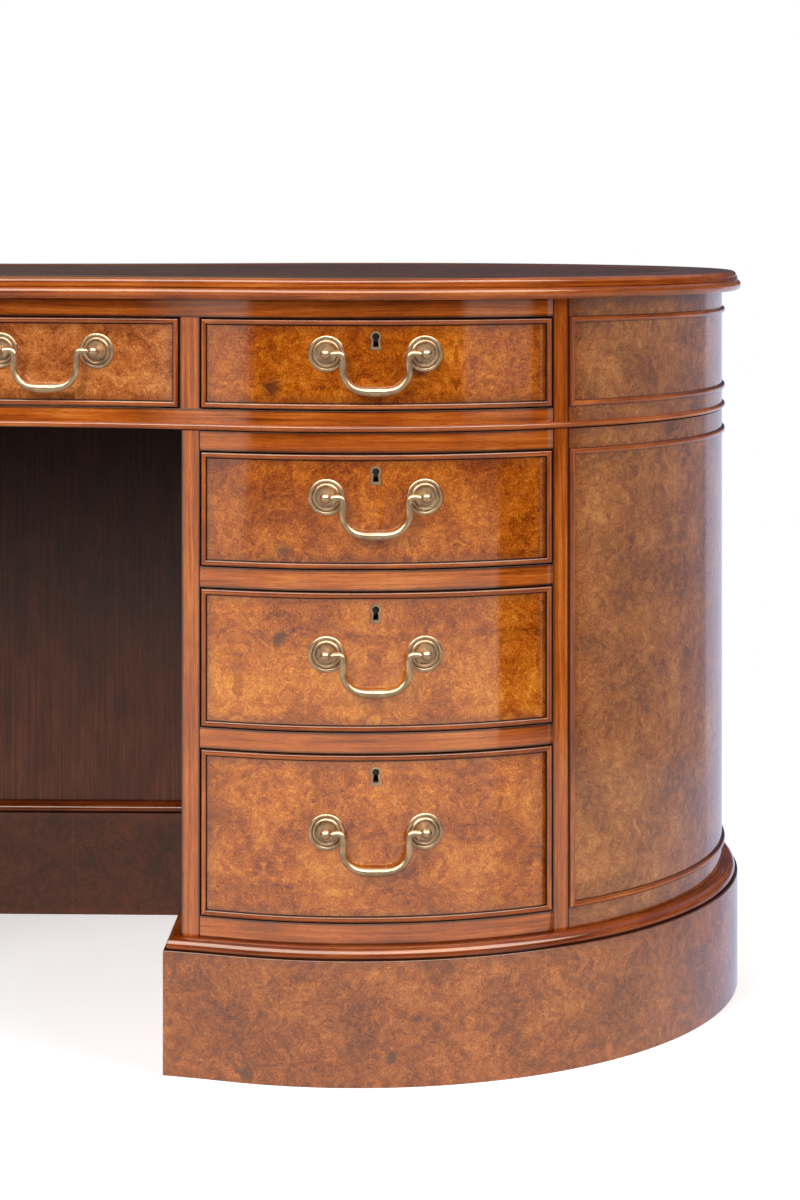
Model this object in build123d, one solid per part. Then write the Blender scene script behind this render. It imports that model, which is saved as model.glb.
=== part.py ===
from build123d import *
import os
from math import asin, atan2, cos, degrees, hypot, pi, radians, sin, sqrt

os.makedirs("parts", exist_ok=True)

# Kidney-shaped pedestal desk, in millimetres.
# The origin is on the floor under the middle of the desk, +X runs along its length and +Y to its back.

# Plan of the carcass: two round ends joined by shallow hollows, the same in front and behind
end_radius = 396
end_centre_x = 468
hollow_radius = 1280
kneehole_width = 610

# Heights, from the floor up
plinth_height = 121.5
base_moulding_height = 11
rail_height = 20.5
bottom_drawer_height = 163.5
middle_drawer_height = 136
upper_drawer_height = 112.5
frieze_drawer_height = 89
frieze_top_rail_height = 18
top_height = 21

# Face frames and shells
stile_width = 18.5
muntin_width = 20.5
drawer_opening_width = 344.5
face_frame_thickness = 22
shell_thickness = 18
end_staves = 9
hollow_staves = 3
back_thickness = 14

# Moulded top
top_projection = 20.6
top_upper_projection = 16.2
top_lower_height = 10.5
top_ovolo = 7.5

# Applied beads: the waist bead under the frieze and the panel beads round the ends
waist_bead_height = 6
waist_bead_projection = 3.5
panel_bead_width = 6.5
panel_bead_projection = 3.3
bead_seat_gap = 0.02

# Plinths, their mouldings and the panel that closes the kneehole
plinth_projection = 16.8
plinth_thickness = 32
base_moulding_projection = 14
base_moulding_slope = 8
modesty_setback = 621
modesty_thickness = 18

# Dust frames that carry and guide the drawers
runner_width = 32
runner_thickness = 14
guide_height = 16
back_rail_width = 40
back_rail_setback = 590

# Drawers
drawer_gap = 1.2
drawer_front_thickness = 20
cock_bead_width = 5.3
cock_bead_projection = 2.5
drawer_side_thickness = 10
drawer_bottom_thickness = 6
drawer_bottom_lift = 6
drawer_side_drop = 7
drawer_running_gap = 0.3
drawer_depth = 540
centre_drawer_depth = 500

# Swan-neck handles
bail_span = 97.4
ball_standoff = 11
ball_radius = 4.5
ball_tip_radius = 2
ball_sides = 6
ball_hole_depth = 5.5
neck_radius = 2.6
neck_length = 4.5
shank_width = 4
shank_clearance = 0.1
rose_radius = 17.5
rose_rim_radius = 14.3
rose_height = 2.6
rose_sides = 12
seat_gap = 0.13
nut_width = 9
nut_height = 4
bail_width = 5.6
bail_drop = 36.3
bail_beak_drop = 7.2
bail_beak_length = 4.5
bail_end_gap = 1.2
bail_half_width = 32.3
bail_path_shares = ((1.04, 0), (0.95, 0.1), (1, 0.66), (0.9, 0.87), (0.68, 1))
pintle_radius = 1.8
pintle_flat_width = 2.4
pintle_clearance = 0.05
handle_end_distance = 131
frieze_handle_rise = 10.5
upper_handle_rise = 14
middle_handle_rise = 7.3
bottom_handle_rise = 6.3

# Locks and their escutcheons
escutcheon_drop = 23
escutcheon_head_radius = 5.5
escutcheon_foot_width = 11
escutcheon_waist_width = 8.6
escutcheon_foot_drop = 13.5
escutcheon_thickness = 1.6
escutcheon_projection = 0.4
keyhole_radius = 2.7
keyhole_sides = 8
escutcheon_sides = 8
keyhole_stem_width = 3.3
keyhole_stem_drop = 10
lock_width = 50
lock_height = 38
lock_thickness = 11
lock_back_projection = 2
lock_clearance = 0.1
bolt_width = 20
bolt_thickness = 6
bolt_height = 22
bolt_travel = 8
bolt_clearance = 0.2

# Places worked out from the sizes above
overrun = 10
radii_sum = end_radius + hollow_radius
hollow_centre_y = sqrt(radii_sum**2 - end_centre_x**2)
kneehole_half = kneehole_width / 2
drawer_left = kneehole_half + stile_width
drawer_right = drawer_left + drawer_opening_width
centre_opening_half = drawer_left - muntin_width
stile_angle = degrees(asin((drawer_right - end_centre_x) / end_radius) + stile_width / end_radius)

pedestal_bottom = plinth_height + base_moulding_height
bottom_drawer_z = pedestal_bottom + rail_height
middle_drawer_z = bottom_drawer_z + bottom_drawer_height + rail_height
upper_drawer_z = middle_drawer_z + middle_drawer_height + rail_height
pedestal_top = upper_drawer_z + upper_drawer_height + rail_height
frieze_drawer_z = pedestal_top + rail_height
frieze_top = frieze_drawer_z + frieze_drawer_height + frieze_top_rail_height
desk_height = frieze_top + top_height

reach = end_centre_x + end_radius + top_projection + overrun
half_depth = end_radius + top_projection + overrun
back_rail_y = back_rail_setback - end_radius
modesty_y = modesty_setback - end_radius


def kidney(offset):
    """Plan outline of the carcass moved outwards by offset, as a filled face."""
    r_end = end_radius + offset
    r_hollow = hollow_radius - offset
    tangent_x = end_centre_x * (1 - r_end / radii_sum)
    tangent_y = hollow_centre_y * r_end / radii_sum
    waist_y = hollow_centre_y - r_hollow
    end_x = end_centre_x + r_end
    arcs = [
        ThreePointArc((tangent_x, -tangent_y), (end_x, 0), (tangent_x, tangent_y)),
        ThreePointArc((tangent_x, tangent_y), (0, waist_y), (-tangent_x, tangent_y)),
        ThreePointArc((-tangent_x, tangent_y), (-end_x, 0), (-tangent_x, -tangent_y)),
        ThreePointArc((-tangent_x, -tangent_y), (0, -waist_y), (tangent_x, -tangent_y)),
    ]
    return make_face(arcs)


def staved(offset):
    """Plan outline at an offset in flats, like the inner side of curved work built of staves."""
    r_end = end_radius + offset
    r_hollow = hollow_radius - offset
    turn = asin(end_centre_x / radii_sum)
    quarter = []
    for i in range(hollow_staves):
        angle = turn * i / hollow_staves
        quarter.append((r_hollow * sin(angle), r_hollow * cos(angle) - hollow_centre_y))
    for i in range(end_staves + 1):
        angle = (pi / 2 + turn) * i / end_staves - turn
        quarter.append((end_centre_x + r_end * sin(angle), -r_end * cos(angle)))
    right = quarter + [(x, -y) for x, y in quarter[-2::-1]]
    left = [(-x, y) for x, y in right[-2:0:-1]]
    return make_face(Polyline(*right, *left, close=True))


def wall(outer, thickness):
    """Plan ring from an offset of the outline in to a staved inner side."""
    return kidney(outer) - staved(-thickness)


def strip(x0, x1, y0, y1):
    """Plan rectangle between two x and two y places."""
    return Pos((x0 + x1) / 2, (y0 + y1) / 2) * Rectangle(x1 - x0, y1 - y0)


def front_strip(x0, x1):
    """Plan rectangle over the front half of the desk, between two x places."""
    return strip(x0, x1, -half_depth, 0)


def right_of(x):
    """Plan rectangle over everything to the right of x."""
    return strip(x, reach, -half_depth, half_depth)


def end_wedge(angle0, angle1):
    """Plan wedge from the right end's centre, between two angles counted from the front."""
    far = reach + half_depth
    centre = (end_centre_x, 0)

    def rim(angle):
        return (end_centre_x + far * sin(radians(angle)), -far * cos(radians(angle)))

    middle = (angle0 + angle1) / 2
    return make_face(Polyline(centre, rim(angle0), rim(middle), rim(angle1), centre))


def raise_between(face, z0, z1):
    """Solid over a plan face, from z0 up to z1."""
    return Pos(0, 0, z0) * extrude(face, amount=z1 - z0)


def box_between(x0, x1, y0, y1, z0, z1):
    """Plain block between two corners."""
    return raise_between(strip(x0, x1, y0, y1), z0, z1)


def mirrored(shape):
    """The same piece on the left-hand side."""
    return mirror(shape, about=Plane.YZ)


def edges_of_radius(shape, radii, z):
    """Round edges at height z whose radius is one of radii."""
    small = overrun / 1000
    found = []
    for edge in shape.edges().filter_by(GeomType.CIRCLE):
        if abs(edge.center().Z - z) < small and any(abs(edge.radius - r) < small for r in radii):
            found.append(edge)
    return found


def outline_radii(offset):
    """Radii of the outline's arcs at an offset."""
    return (end_radius + offset, hollow_radius - offset)


def build_top():
    """Top board: a sloped upper moulding over a square one."""
    step_z = frieze_top + top_lower_height
    lower = raise_between(kidney(top_projection), frieze_top, step_z)
    upper = raise_between(kidney(top_upper_projection), step_z, desk_height)
    edges = edges_of_radius(upper, outline_radii(top_upper_projection), desk_height)
    return lower + chamfer(edges, top_ovolo)


def build_frieze_face_frame():
    """Rails, muntins and end stiles in front of the frieze drawers."""
    ring = wall(0, face_frame_thickness)
    long_plan = ring & front_strip(-drawer_right, drawer_right)
    top_rail = raise_between(long_plan, frieze_top - frieze_top_rail_height, frieze_top)
    bottom_rail = raise_between(long_plan, pedestal_top, frieze_drawer_z)
    muntin_plan = ring & front_strip(centre_opening_half, drawer_left)
    muntin = raise_between(muntin_plan, frieze_drawer_z, frieze_drawer_z + frieze_drawer_height)
    stile = raise_between(end_stile_plan(), pedestal_top, frieze_top)
    for cut in lock_mortises(frieze_drawer_z, frieze_drawer_height):
        top_rail -= cut
    for cut in centre_lock_mortises():
        top_rail -= cut
    return [top_rail, bottom_rail, muntin, mirrored(muntin), stile, mirrored(stile)]


def end_stile_plan():
    """Plan of the stile between the drawers and the round end."""
    ring = wall(0, face_frame_thickness) & front_strip(drawer_right, reach)
    return ring & end_wedge(0, stile_angle)


def build_frieze_shell():
    """Bent ends and the back board of the frieze."""
    end_plan = wall(0, shell_thickness) & end_wedge(stile_angle, 180 - stile_angle)
    end = raise_between(end_plan, pedestal_top, frieze_top)
    back_plan = wall(0, back_thickness) & strip(-reach, reach, 0, half_depth)
    back_plan = back_plan - end_wedge(0, 180 - stile_angle) - mirrored(end_wedge(0, 180 - stile_angle))
    back = raise_between(back_plan, pedestal_top, frieze_top)
    return [end, mirrored(end), back]


def cross_rail(x0, z0):
    """Rail across the desk behind the drawers, from x0 to the round end."""
    inner = staved(-shell_thickness)
    plan = inner & strip(x0, reach, back_rail_y, back_rail_y + back_rail_width)
    return raise_between(plan, z0, z0 + runner_thickness)


def runner(x0, x1, z0, z1):
    """Bearer from the back of the face frame to the cross rail."""
    inner = staved(-face_frame_thickness)
    plan = inner & strip(x0, x1, -half_depth, back_rail_y)
    return raise_between(plan, z0, z1)


def build_frieze_runner_frames():
    """Runners, kickers and guides for the frieze drawers, with their cross rails."""
    pieces = []
    outer_x = drawer_right + runner_width
    for top_z in (frieze_drawer_z, frieze_top):
        z0 = top_z - runner_thickness
        cross = cross_rail(0, z0)
        cross = cross + mirrored(cross)
        middle = runner(centre_opening_half - runner_width, drawer_left + runner_width, z0, top_z)
        outer = runner(drawer_right - runner_width, outer_x, z0, top_z)
        pieces += [cross, middle, mirrored(middle), outer, mirrored(outer)]
    guide_top = frieze_drawer_z + guide_height
    middle_guide = runner(centre_opening_half, drawer_left, frieze_drawer_z, guide_top)
    outer_guide = runner(drawer_right, outer_x, frieze_drawer_z, guide_top)
    pieces += [middle_guide, mirrored(middle_guide), outer_guide, mirrored(outer_guide)]
    return pieces


def pedestal_levels():
    """Lower edge and height of each pedestal drawer opening, from the floor up."""
    return [
        (bottom_drawer_z, bottom_drawer_height),
        (middle_drawer_z, middle_drawer_height),
        (upper_drawer_z, upper_drawer_height),
    ]


def build_pedestal_face_frame():
    """Stiles and rails round the drawers of the right-hand pedestal."""
    ring = wall(0, face_frame_thickness)
    inner_stile_plan = ring & front_strip(kneehole_half, drawer_left)
    inner_stile = raise_between(inner_stile_plan, pedestal_bottom, pedestal_top)
    end_stile = raise_between(end_stile_plan(), pedestal_bottom, pedestal_top)
    rail_plan = ring & front_strip(drawer_left, drawer_right)
    rails = [raise_between(rail_plan, pedestal_bottom, bottom_drawer_z)]
    for z0, height in pedestal_levels():
        rail = raise_between(rail_plan, z0 + height, z0 + height + rail_height)
        for cut in lock_mortises(z0, height):
            rail -= cut
        rails.append(rail)
    return [inner_stile, end_stile] + rails


def build_pedestal_shell():
    """Kneehole side, bent end and back board of the right-hand pedestal."""
    end_plan = wall(0, shell_thickness) & end_wedge(stile_angle, 180 - stile_angle)
    end = raise_between(end_plan, pedestal_bottom, pedestal_top)
    back_plan = wall(0, back_thickness) & strip(kneehole_half, reach, 0, half_depth)
    back_plan = back_plan - end_wedge(0, 180 - stile_angle)
    back = raise_between(back_plan, pedestal_bottom, pedestal_top)
    side_x = kneehole_half + shell_thickness
    side_plan = strip(kneehole_half, side_x, -half_depth, half_depth) & kidney(0)
    front_ring = wall(0, face_frame_thickness) & front_strip(0, reach)
    back_ring = wall(0, back_thickness) & strip(0, reach, 0, half_depth)
    side = raise_between(side_plan - front_ring - back_ring, pedestal_bottom, pedestal_top)
    return [side, end, back]


def build_pedestal_runner_frames():
    """Four dust frames of the right-hand pedestal, with guides beside the drawers."""
    pieces = []
    inner_x = kneehole_half + shell_thickness
    outer_x = drawer_right + runner_width
    tops = [z0 for z0, height in pedestal_levels()]
    for top_z in tops + [pedestal_top]:
        z0 = top_z - runner_thickness
        pieces.append(cross_rail(inner_x, z0))
        pieces.append(runner(inner_x, drawer_left + runner_width, z0, top_z))
        pieces.append(runner(drawer_right - runner_width, outer_x, z0, top_z))
    for z0 in tops:
        pieces.append(runner(drawer_right, outer_x, z0, z0 + guide_height))
    return pieces


def nosed_arc(radius, projection, z, height, start, turn):
    """Length of nosed bead bent about the Z axis, its back at a radius."""
    back = radius + (bead_seat_gap if projection > 0 else -bead_seat_gap)
    corners = [(back, 0, z), (back, 0, z + height), (radius + projection, 0, z + height / 2)]
    section = make_face(Polyline(*corners, close=True))
    return Rot(0, 0, start) * revolve(section, Axis.Z, turn)


def build_bead_mouldings():
    """Waist bead in four lengths, and the beads that frame the round ends as panels."""
    outline_turn = degrees(asin(end_centre_x / radii_sum))
    waist = (pedestal_top, waist_bead_height)
    end_turn = 180 + 2 * outline_turn
    end = nosed_arc(end_radius, waist_bead_projection, *waist, -end_turn / 2, end_turn)
    end = Pos(end_centre_x, 0, 0) * end
    front = nosed_arc(hollow_radius, -waist_bead_projection, *waist, 90 - outline_turn, 2 * outline_turn)
    front = Pos(0, -hollow_centre_y, 0) * front
    pieces = [end, mirrored(end), front, mirror(front, about=Plane.XZ)]
    panel_turn = 180 - 2 * stile_angle
    frieze_panel = (frieze_drawer_z, frieze_drawer_z + frieze_drawer_height)
    pedestal_panel = (bottom_drawer_z, upper_drawer_z + upper_drawer_height)
    for z0, z1 in (frieze_panel, pedestal_panel):
        for z in (z0, z1 - panel_bead_width):
            panel = (z, panel_bead_width)
            arc = nosed_arc(end_radius, panel_bead_projection, *panel, -panel_turn / 2, panel_turn)
            arc = Pos(end_centre_x, 0, 0) * arc
            pieces += [arc, mirrored(arc)]
        upright = build_panel_upright(z0 + panel_bead_width, z1 - panel_bead_width)
        back_upright = mirror(upright, about=Plane.XZ)
        pieces += [upright, mirrored(upright), back_upright, mirrored(back_upright)]
    return pieces


def build_panel_upright(z0, z1):
    """Upright nosed bead beside the stile of the right-hand end."""
    half = panel_bead_width / 2
    corners = [(-half, -bead_seat_gap), (half, -bead_seat_gap), (0, -panel_bead_projection)]
    section = make_face(Polyline(*corners, close=True))
    bead_turn = degrees(half / end_radius)
    return end_face_frame(stile_angle + bead_turn) * raise_between(section, z0, z1)


def pedestal_plan(offset):
    """Plan of the right-hand pedestal moved outwards by offset, its kneehole side too."""
    return kidney(offset) & right_of(kneehole_half - offset)


def base_moulding_side_cut():
    """Space right of the kneehole whose side slopes as the base moulding does."""
    x0 = kneehole_half - base_moulding_projection
    slope_z = pedestal_bottom - base_moulding_slope
    corners = [
        (x0, 0, plinth_height),
        (x0, 0, slope_z),
        (x0 + base_moulding_slope, 0, pedestal_bottom),
        (reach, 0, pedestal_bottom),
        (reach, 0, plinth_height),
    ]
    return extrude(make_face(Polyline(*corners, close=True)), amount=half_depth, both=True)


def build_plinths():
    """Plinths of both pedestals and of the kneehole panel, each with its base moulding."""
    core = staved(plinth_projection - plinth_thickness)
    core = core & right_of(kneehole_half - plinth_projection + plinth_thickness)
    board = raise_between(pedestal_plan(plinth_projection) - core, 0, plinth_height)
    moulding = raise_between(kidney(base_moulding_projection), plinth_height, pedestal_bottom)
    edges = edges_of_radius(moulding, outline_radii(base_moulding_projection), pedestal_bottom)
    moulding = chamfer(edges, base_moulding_slope) & base_moulding_side_cut()
    plinth = board + (moulding - raise_between(core, plinth_height, pedestal_bottom))

    half = kneehole_half - plinth_projection
    face_y = modesty_y - plinth_projection
    back_y = modesty_y + modesty_thickness
    board = box_between(-half, half, face_y, back_y, 0, plinth_height)
    half = kneehole_half - base_moulding_projection
    face_y = modesty_y - base_moulding_projection
    moulding = box_between(-half, half, face_y, back_y, plinth_height, pedestal_bottom)
    edge = moulding.edges().filter_by(Axis.X).group_by(Axis.Z)[-1].sort_by(Axis.Y)[0]
    return [plinth, mirrored(plinth), board, chamfer(edge, base_moulding_slope)]


def build_modesty_panel():
    """Flat panel that closes the kneehole between the pedestals."""
    back_y = modesty_y + modesty_thickness
    return box_between(-kneehole_half, kneehole_half, modesty_y, back_y, pedestal_bottom, pedestal_top)


def end_face_frame(angle):
    """Place on the right end's face, its -Y pointing straight out, at an angle from the front."""
    return Pos(end_centre_x, 0, 0) * Rot(0, 0, angle) * Pos(0, -end_radius, 0)


def hollow_face_frame(angle):
    """Place on the hollow front's face, its -Y pointing straight out, at an angle from the middle."""
    return Pos(0, -hollow_centre_y, 0) * Rot(0, 0, -angle) * Pos(0, hollow_radius, 0)


def end_post_turn():
    """Half the angle between two posts on the round end."""
    return degrees(asin(bail_span / 2 / (end_radius + ball_standoff)))


def hollow_post_turn():
    """Half the angle between two posts on the hollow front."""
    return degrees(asin(bail_span / 2 / (hollow_radius - ball_standoff)))


def drawer_middle_angle():
    """Angle of a pedestal drawer's middle on the round end."""
    return degrees(asin(((drawer_left + drawer_right) / 2 - end_centre_x) / end_radius))


def lock_mortise(frame, top_z):
    """Hole in the rail above a drawer that takes the bolt."""
    depth = bolt_travel + overrun / 10
    size = Box(
        bolt_width + 2 * bolt_clearance,
        bolt_thickness + 2 * bolt_clearance,
        depth,
        align=(Align.CENTER, Align.CENTER, Align.MIN),
    )
    return frame * Pos(0, bolt_setback(), top_z) * size


def bolt_setback():
    """How far the middle of a bolt lies behind the drawer's face."""
    return drawer_front_thickness + lock_back_projection - lock_thickness / 2


def lock_mortises(z0, height):
    """Bolt holes above the right-hand and left-hand drawers of one level."""
    cut = lock_mortise(end_face_frame(drawer_middle_angle()), z0 + height)
    return [cut, mirrored(cut)]


def centre_lock_mortises():
    """Bolt hole above the centre drawer."""
    return [lock_mortise(hollow_face_frame(0), frieze_drawer_z + frieze_drawer_height)]


def mitre_prism(x0, x1, z0, z1, side):
    """Prism that holds one mitred side of a bead frame."""
    w = cock_bead_width
    corners = {
        "top": [(x0, z1), (x1, z1), (x1 - w, z1 - w), (x0 + w, z1 - w)],
        "bottom": [(x0, z0), (x1, z0), (x1 - w, z0 + w), (x0 + w, z0 + w)],
        "left": [(x0, z0), (x0 + w, z0 + w), (x0 + w, z1 - w), (x0, z1)],
        "right": [(x1, z0), (x1 - w, z0 + w), (x1 - w, z1 - w), (x1, z1)],
    }[side]
    face = make_face(Polyline(*[(x, 0, z) for x, z in corners], close=True))
    return extrude(face, amount=half_depth, dir=(0, -1, 0))


def build_drawer_front(x0, x1, z0, z1):
    """Curved drawer front inside a frame of four mitred cock beads."""
    w = cock_bead_width
    board_plan = wall(0, drawer_front_thickness) & front_strip(x0 + w, x1 - w)
    board = raise_between(board_plan, z0 + w, z1 - w)
    ring = wall(cock_bead_projection, drawer_front_thickness)
    rows = [("top", x0, x1, z1 - w, z1), ("bottom", x0, x1, z0, z0 + w)]
    rows += [("left", x0, x0 + w, z0, z1), ("right", x1 - w, x1, z0, z1)]
    beads = []
    for side, left, right, low, high in rows:
        bead = raise_between(ring & front_strip(left, right), low, high)
        beads.append(bead & mitre_prism(x0, x1, z0, z1, side))
    return board, beads


def build_drawer_box(x0, x1, z0, z1, depth):
    """Sides, back and bottom of a drawer, behind its curved front."""
    t = drawer_side_thickness
    back_y = depth - end_radius
    inner = staved(-drawer_front_thickness)
    low = z0 - drawer_gap + drawer_running_gap
    high = z1 - drawer_side_drop
    bottom_z = low + drawer_bottom_lift
    left = raise_between(inner & strip(x0, x0 + t, -half_depth, back_y), low, high)
    right = raise_between(inner & strip(x1 - t, x1, -half_depth, back_y), low, high)
    back = box_between(x0 + t, x1 - t, back_y - t, back_y, bottom_z + drawer_bottom_thickness, high)
    bottom_plan = inner & strip(x0 + t, x1 - t, -half_depth, back_y)
    bottom = raise_between(bottom_plan, bottom_z, bottom_z + drawer_bottom_thickness)
    return [left, right, back, bottom]


def keyhole_plan():
    """Keyhole outline: an eye over a straight stem."""
    stem = Pos(0, -keyhole_stem_drop / 2) * Rectangle(keyhole_stem_width, keyhole_stem_drop)
    return RegularPolygon(keyhole_radius, keyhole_sides) + stem


def escutcheon_plan():
    """Escutcheon outline: a round head over a foot that spreads."""
    waist_half = escutcheon_waist_width / 2
    foot_half = escutcheon_foot_width / 2
    corners = [
        (-waist_half, 0),
        (-foot_half, -escutcheon_foot_drop),
        (foot_half, -escutcheon_foot_drop),
        (waist_half, 0),
    ]
    head = RegularPolygon(escutcheon_head_radius, escutcheon_sides)
    return head + make_face(Polyline(*corners, close=True))


def on_face(plan, z, front, back):
    """Solid of a plan drawn on a drawer's face, from front to back of it along the normal."""
    raised = extrude(plan, amount=back - front)
    return Pos(0, front, z) * Rot(90, 0, 0) * mirror(raised, about=Plane.XY)


def build_lock(z1):
    """Escutcheon, lock case and bolt in the frame of the drawer's middle, and the cut for them."""
    eye_z = z1 + drawer_gap - escutcheon_drop + escutcheon_head_radius
    back = drawer_front_thickness + lock_back_projection
    case_front = back - lock_thickness
    plate_back = escutcheon_thickness - escutcheon_projection
    plate = on_face(escutcheon_plan() - keyhole_plan(), eye_z, -escutcheon_projection, plate_back)
    hung = (Align.CENTER, Align.MAX, Align.MAX)
    body = Pos(0, back, z1) * Box(lock_width, lock_thickness, lock_height, align=hung)
    mortise_width = lock_width + 2 * lock_clearance
    mortise_depth = lock_thickness + lock_clearance + overrun
    mortise = Box(mortise_width, mortise_depth, lock_height + lock_clearance, align=hung)
    mortise = Pos(0, back + overrun, z1) * mortise
    down = (Align.CENTER, Align.CENTER, Align.MAX)
    bolt_place = Pos(0, bolt_setback(), z1)
    bolt = bolt_place * Box(bolt_width, bolt_thickness, bolt_height, align=down)
    channel_width = bolt_width + 2 * bolt_clearance
    channel_thickness = bolt_thickness + 2 * bolt_clearance
    channel = bolt_place * Box(channel_width, channel_thickness, bolt_height + bolt_clearance, align=down)
    key_room = keyhole_radius + keyhole_stem_drop
    key_way_plan = Pos(0, keyhole_radius - key_room / 2) * Rectangle(2 * keyhole_radius, key_room)
    key_way = on_face(key_way_plan, eye_z, 0, case_front)
    plate_pocket = on_face(escutcheon_plan(), eye_z, -overrun, plate_back)
    return plate, body - channel, bolt, [plate_pocket, key_way, mortise]


def build_pommel(z):
    """Rose, neck, ball, shank and nut of one end of a handle, in the frame of the face there."""
    rose_rise = (rose_radius - rose_rim_radius) * cos(pi / rose_sides)
    rose = tapered(rose_radius * cos(pi / rose_sides), rose_sides, seat_gap, rose_height, rose_rise)
    rose_top = seat_gap + rose_height
    neck = tapered(neck_radius, ball_sides, rose_top, neck_length, 0)
    ball_bottom = rose_top + neck_length
    lower = tapered(ball_radius, ball_sides, 0, ball_standoff - ball_bottom, ball_radius - neck_radius)
    lower = Pos(0, 0, ball_standoff) * mirror(lower, about=Plane.XY)
    upper = tapered(ball_radius, ball_sides, ball_standoff, ball_radius, ball_radius - ball_tip_radius)
    nut_seat = drawer_front_thickness + stave_rise(drawer_front_thickness)
    shank_length = seat_gap + nut_seat + nut_height
    shank = Box(shank_width, shank_width, shank_length, align=(Align.CENTER, Align.CENTER, Align.MAX))
    nut = Box(nut_width, nut_width, nut_height, align=(Align.CENTER, Align.CENTER, Align.MAX))
    pommel = rose + neck + lower + upper + Pos(0, 0, seat_gap) * shank + Pos(0, 0, -nut_seat) * nut
    return Pos(0, 0, z) * Rot(90, 0, 0) * pommel


def tapered(radius, sides, z, height, narrowing):
    """Flat-sided length of turned brass from z up, narrowing by an amount over its height."""
    ring = Rot(0, 0, 180 / sides) * RegularPolygon(radius, sides, major_radius=False)
    return Pos(0, 0, z) * extrude(ring, amount=height, taper=degrees(atan2(narrowing, height)))


def stave_rise(thickness):
    """How much a staved inner side stands in from its arc at the middle of a flat."""
    step = (pi / 2 + asin(end_centre_x / radii_sum)) / end_staves
    return (end_radius - thickness) * (1 - cos(step / 2))


def bail_plan():
    """Outline of the swan-neck bail in its own plane, hanging from the line through its balls."""
    arm_x = bail_arm_x()
    half = [(-arm_x, 0)] + [(-bail_half_width * x, -bail_drop * z) for x, z in bail_path_shares]
    points = half + [(-x, z) for x, z in reversed(half)]
    beak = make_face(
        Polyline((-arm_x, 0), (-arm_x, -bail_beak_drop), (-arm_x + bail_beak_length, 0), close=True)
    )
    return make_face(thick_line(points, bail_width)) + beak + mirror(beak, about=Plane.YZ)


def thick_line(points, width):
    """Closed outline of a bent strip of even width along points."""
    sides = []
    for i, (x, z) in enumerate(points):
        before = points[max(i - 1, 0)]
        after = points[min(i + 1, len(points) - 1)]
        into = unit(before, (x, z)) if i > 0 else unit((x, z), after)
        out = unit((x, z), after) if i < len(points) - 1 else into
        mitre = (into[0] + out[0], into[1] + out[1])
        reach_share = 1 / (1 + into[0] * out[0] + into[1] * out[1])
        step = (-mitre[1] * reach_share * width / 2, mitre[0] * reach_share * width / 2)
        sides.append(((x + step[0], z + step[1]), (x - step[0], z - step[1])))
    return Polyline(*[a for a, b in sides], *[b for a, b in reversed(sides)], close=True)


def unit(start, end):
    """Unit step from one plan point toward another."""
    length = hypot(end[0] - start[0], end[1] - start[1])
    return ((end[0] - start[0]) / length, (end[1] - start[1]) / length)


def bail_arm_x():
    """Distance from the bail's middle to the ends of its arms."""
    return bail_span / 2 - ball_radius - bail_end_gap


def build_bail(frame, ball_y, z):
    """Bail with its two pintles, hung between its balls."""
    body = extrude(bail_plan(), amount=bail_width / 2, both=True)
    pintle_end = bail_span / 2 - ball_radius + ball_hole_depth - pintle_clearance
    length = pintle_end - bail_arm_x()
    pintle = Rot(0, 90, 0) * Cylinder(pintle_radius, length) & Box(length, bail_width, pintle_flat_width)
    for side in (-1, 1):
        body = body + Pos(side * (bail_arm_x() + length / 2), 0, 0) * pintle
    return frame * Pos(0, ball_y, z) * Rot(90, 0, 0) * body


def ball_holes(ball_y, z):
    """Blind six-sided holes in the two balls for the pintles, in the frame of the handle's middle."""
    start = bail_span / 2 - ball_radius - overrun / 2
    length = ball_hole_depth + overrun / 2
    hole = extrude(RegularPolygon(pintle_radius + pintle_clearance, 6, major_radius=False), amount=length)
    place = Pos(start, ball_y, z) * Rot(0, 90, 0)
    return [mirrored(place * hole), place * hole]


def build_handle(frame_at, middle, turn, ball_y, z):
    """Two pommels and the bail at an angle on a curved front, with the holes for the shanks."""
    pommels = []
    bores = []
    width = shank_width + 2 * shank_clearance
    bore = Box(width, 4 * drawer_front_thickness, width)
    for side, hole in zip((-1, 1), ball_holes(ball_y, z)):
        frame = frame_at(middle + side * turn)
        pommels.append(frame * build_pommel(z) - frame_at(middle) * hole)
        bores.append(frame * Pos(0, 0, z) * bore)
    return pommels, build_bail(frame_at(middle), ball_y, z), bores


def end_ball_y():
    """Distance of the bail's axis in front of the face at the handle's middle, on the round end."""
    return end_radius - (end_radius + ball_standoff) * cos(radians(end_post_turn()))


def hollow_ball_y():
    """Distance of the bail's axis in front of the face at the handle's middle, on the hollow front."""
    return (hollow_radius - ball_standoff) * cos(radians(hollow_post_turn())) - hollow_radius


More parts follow.
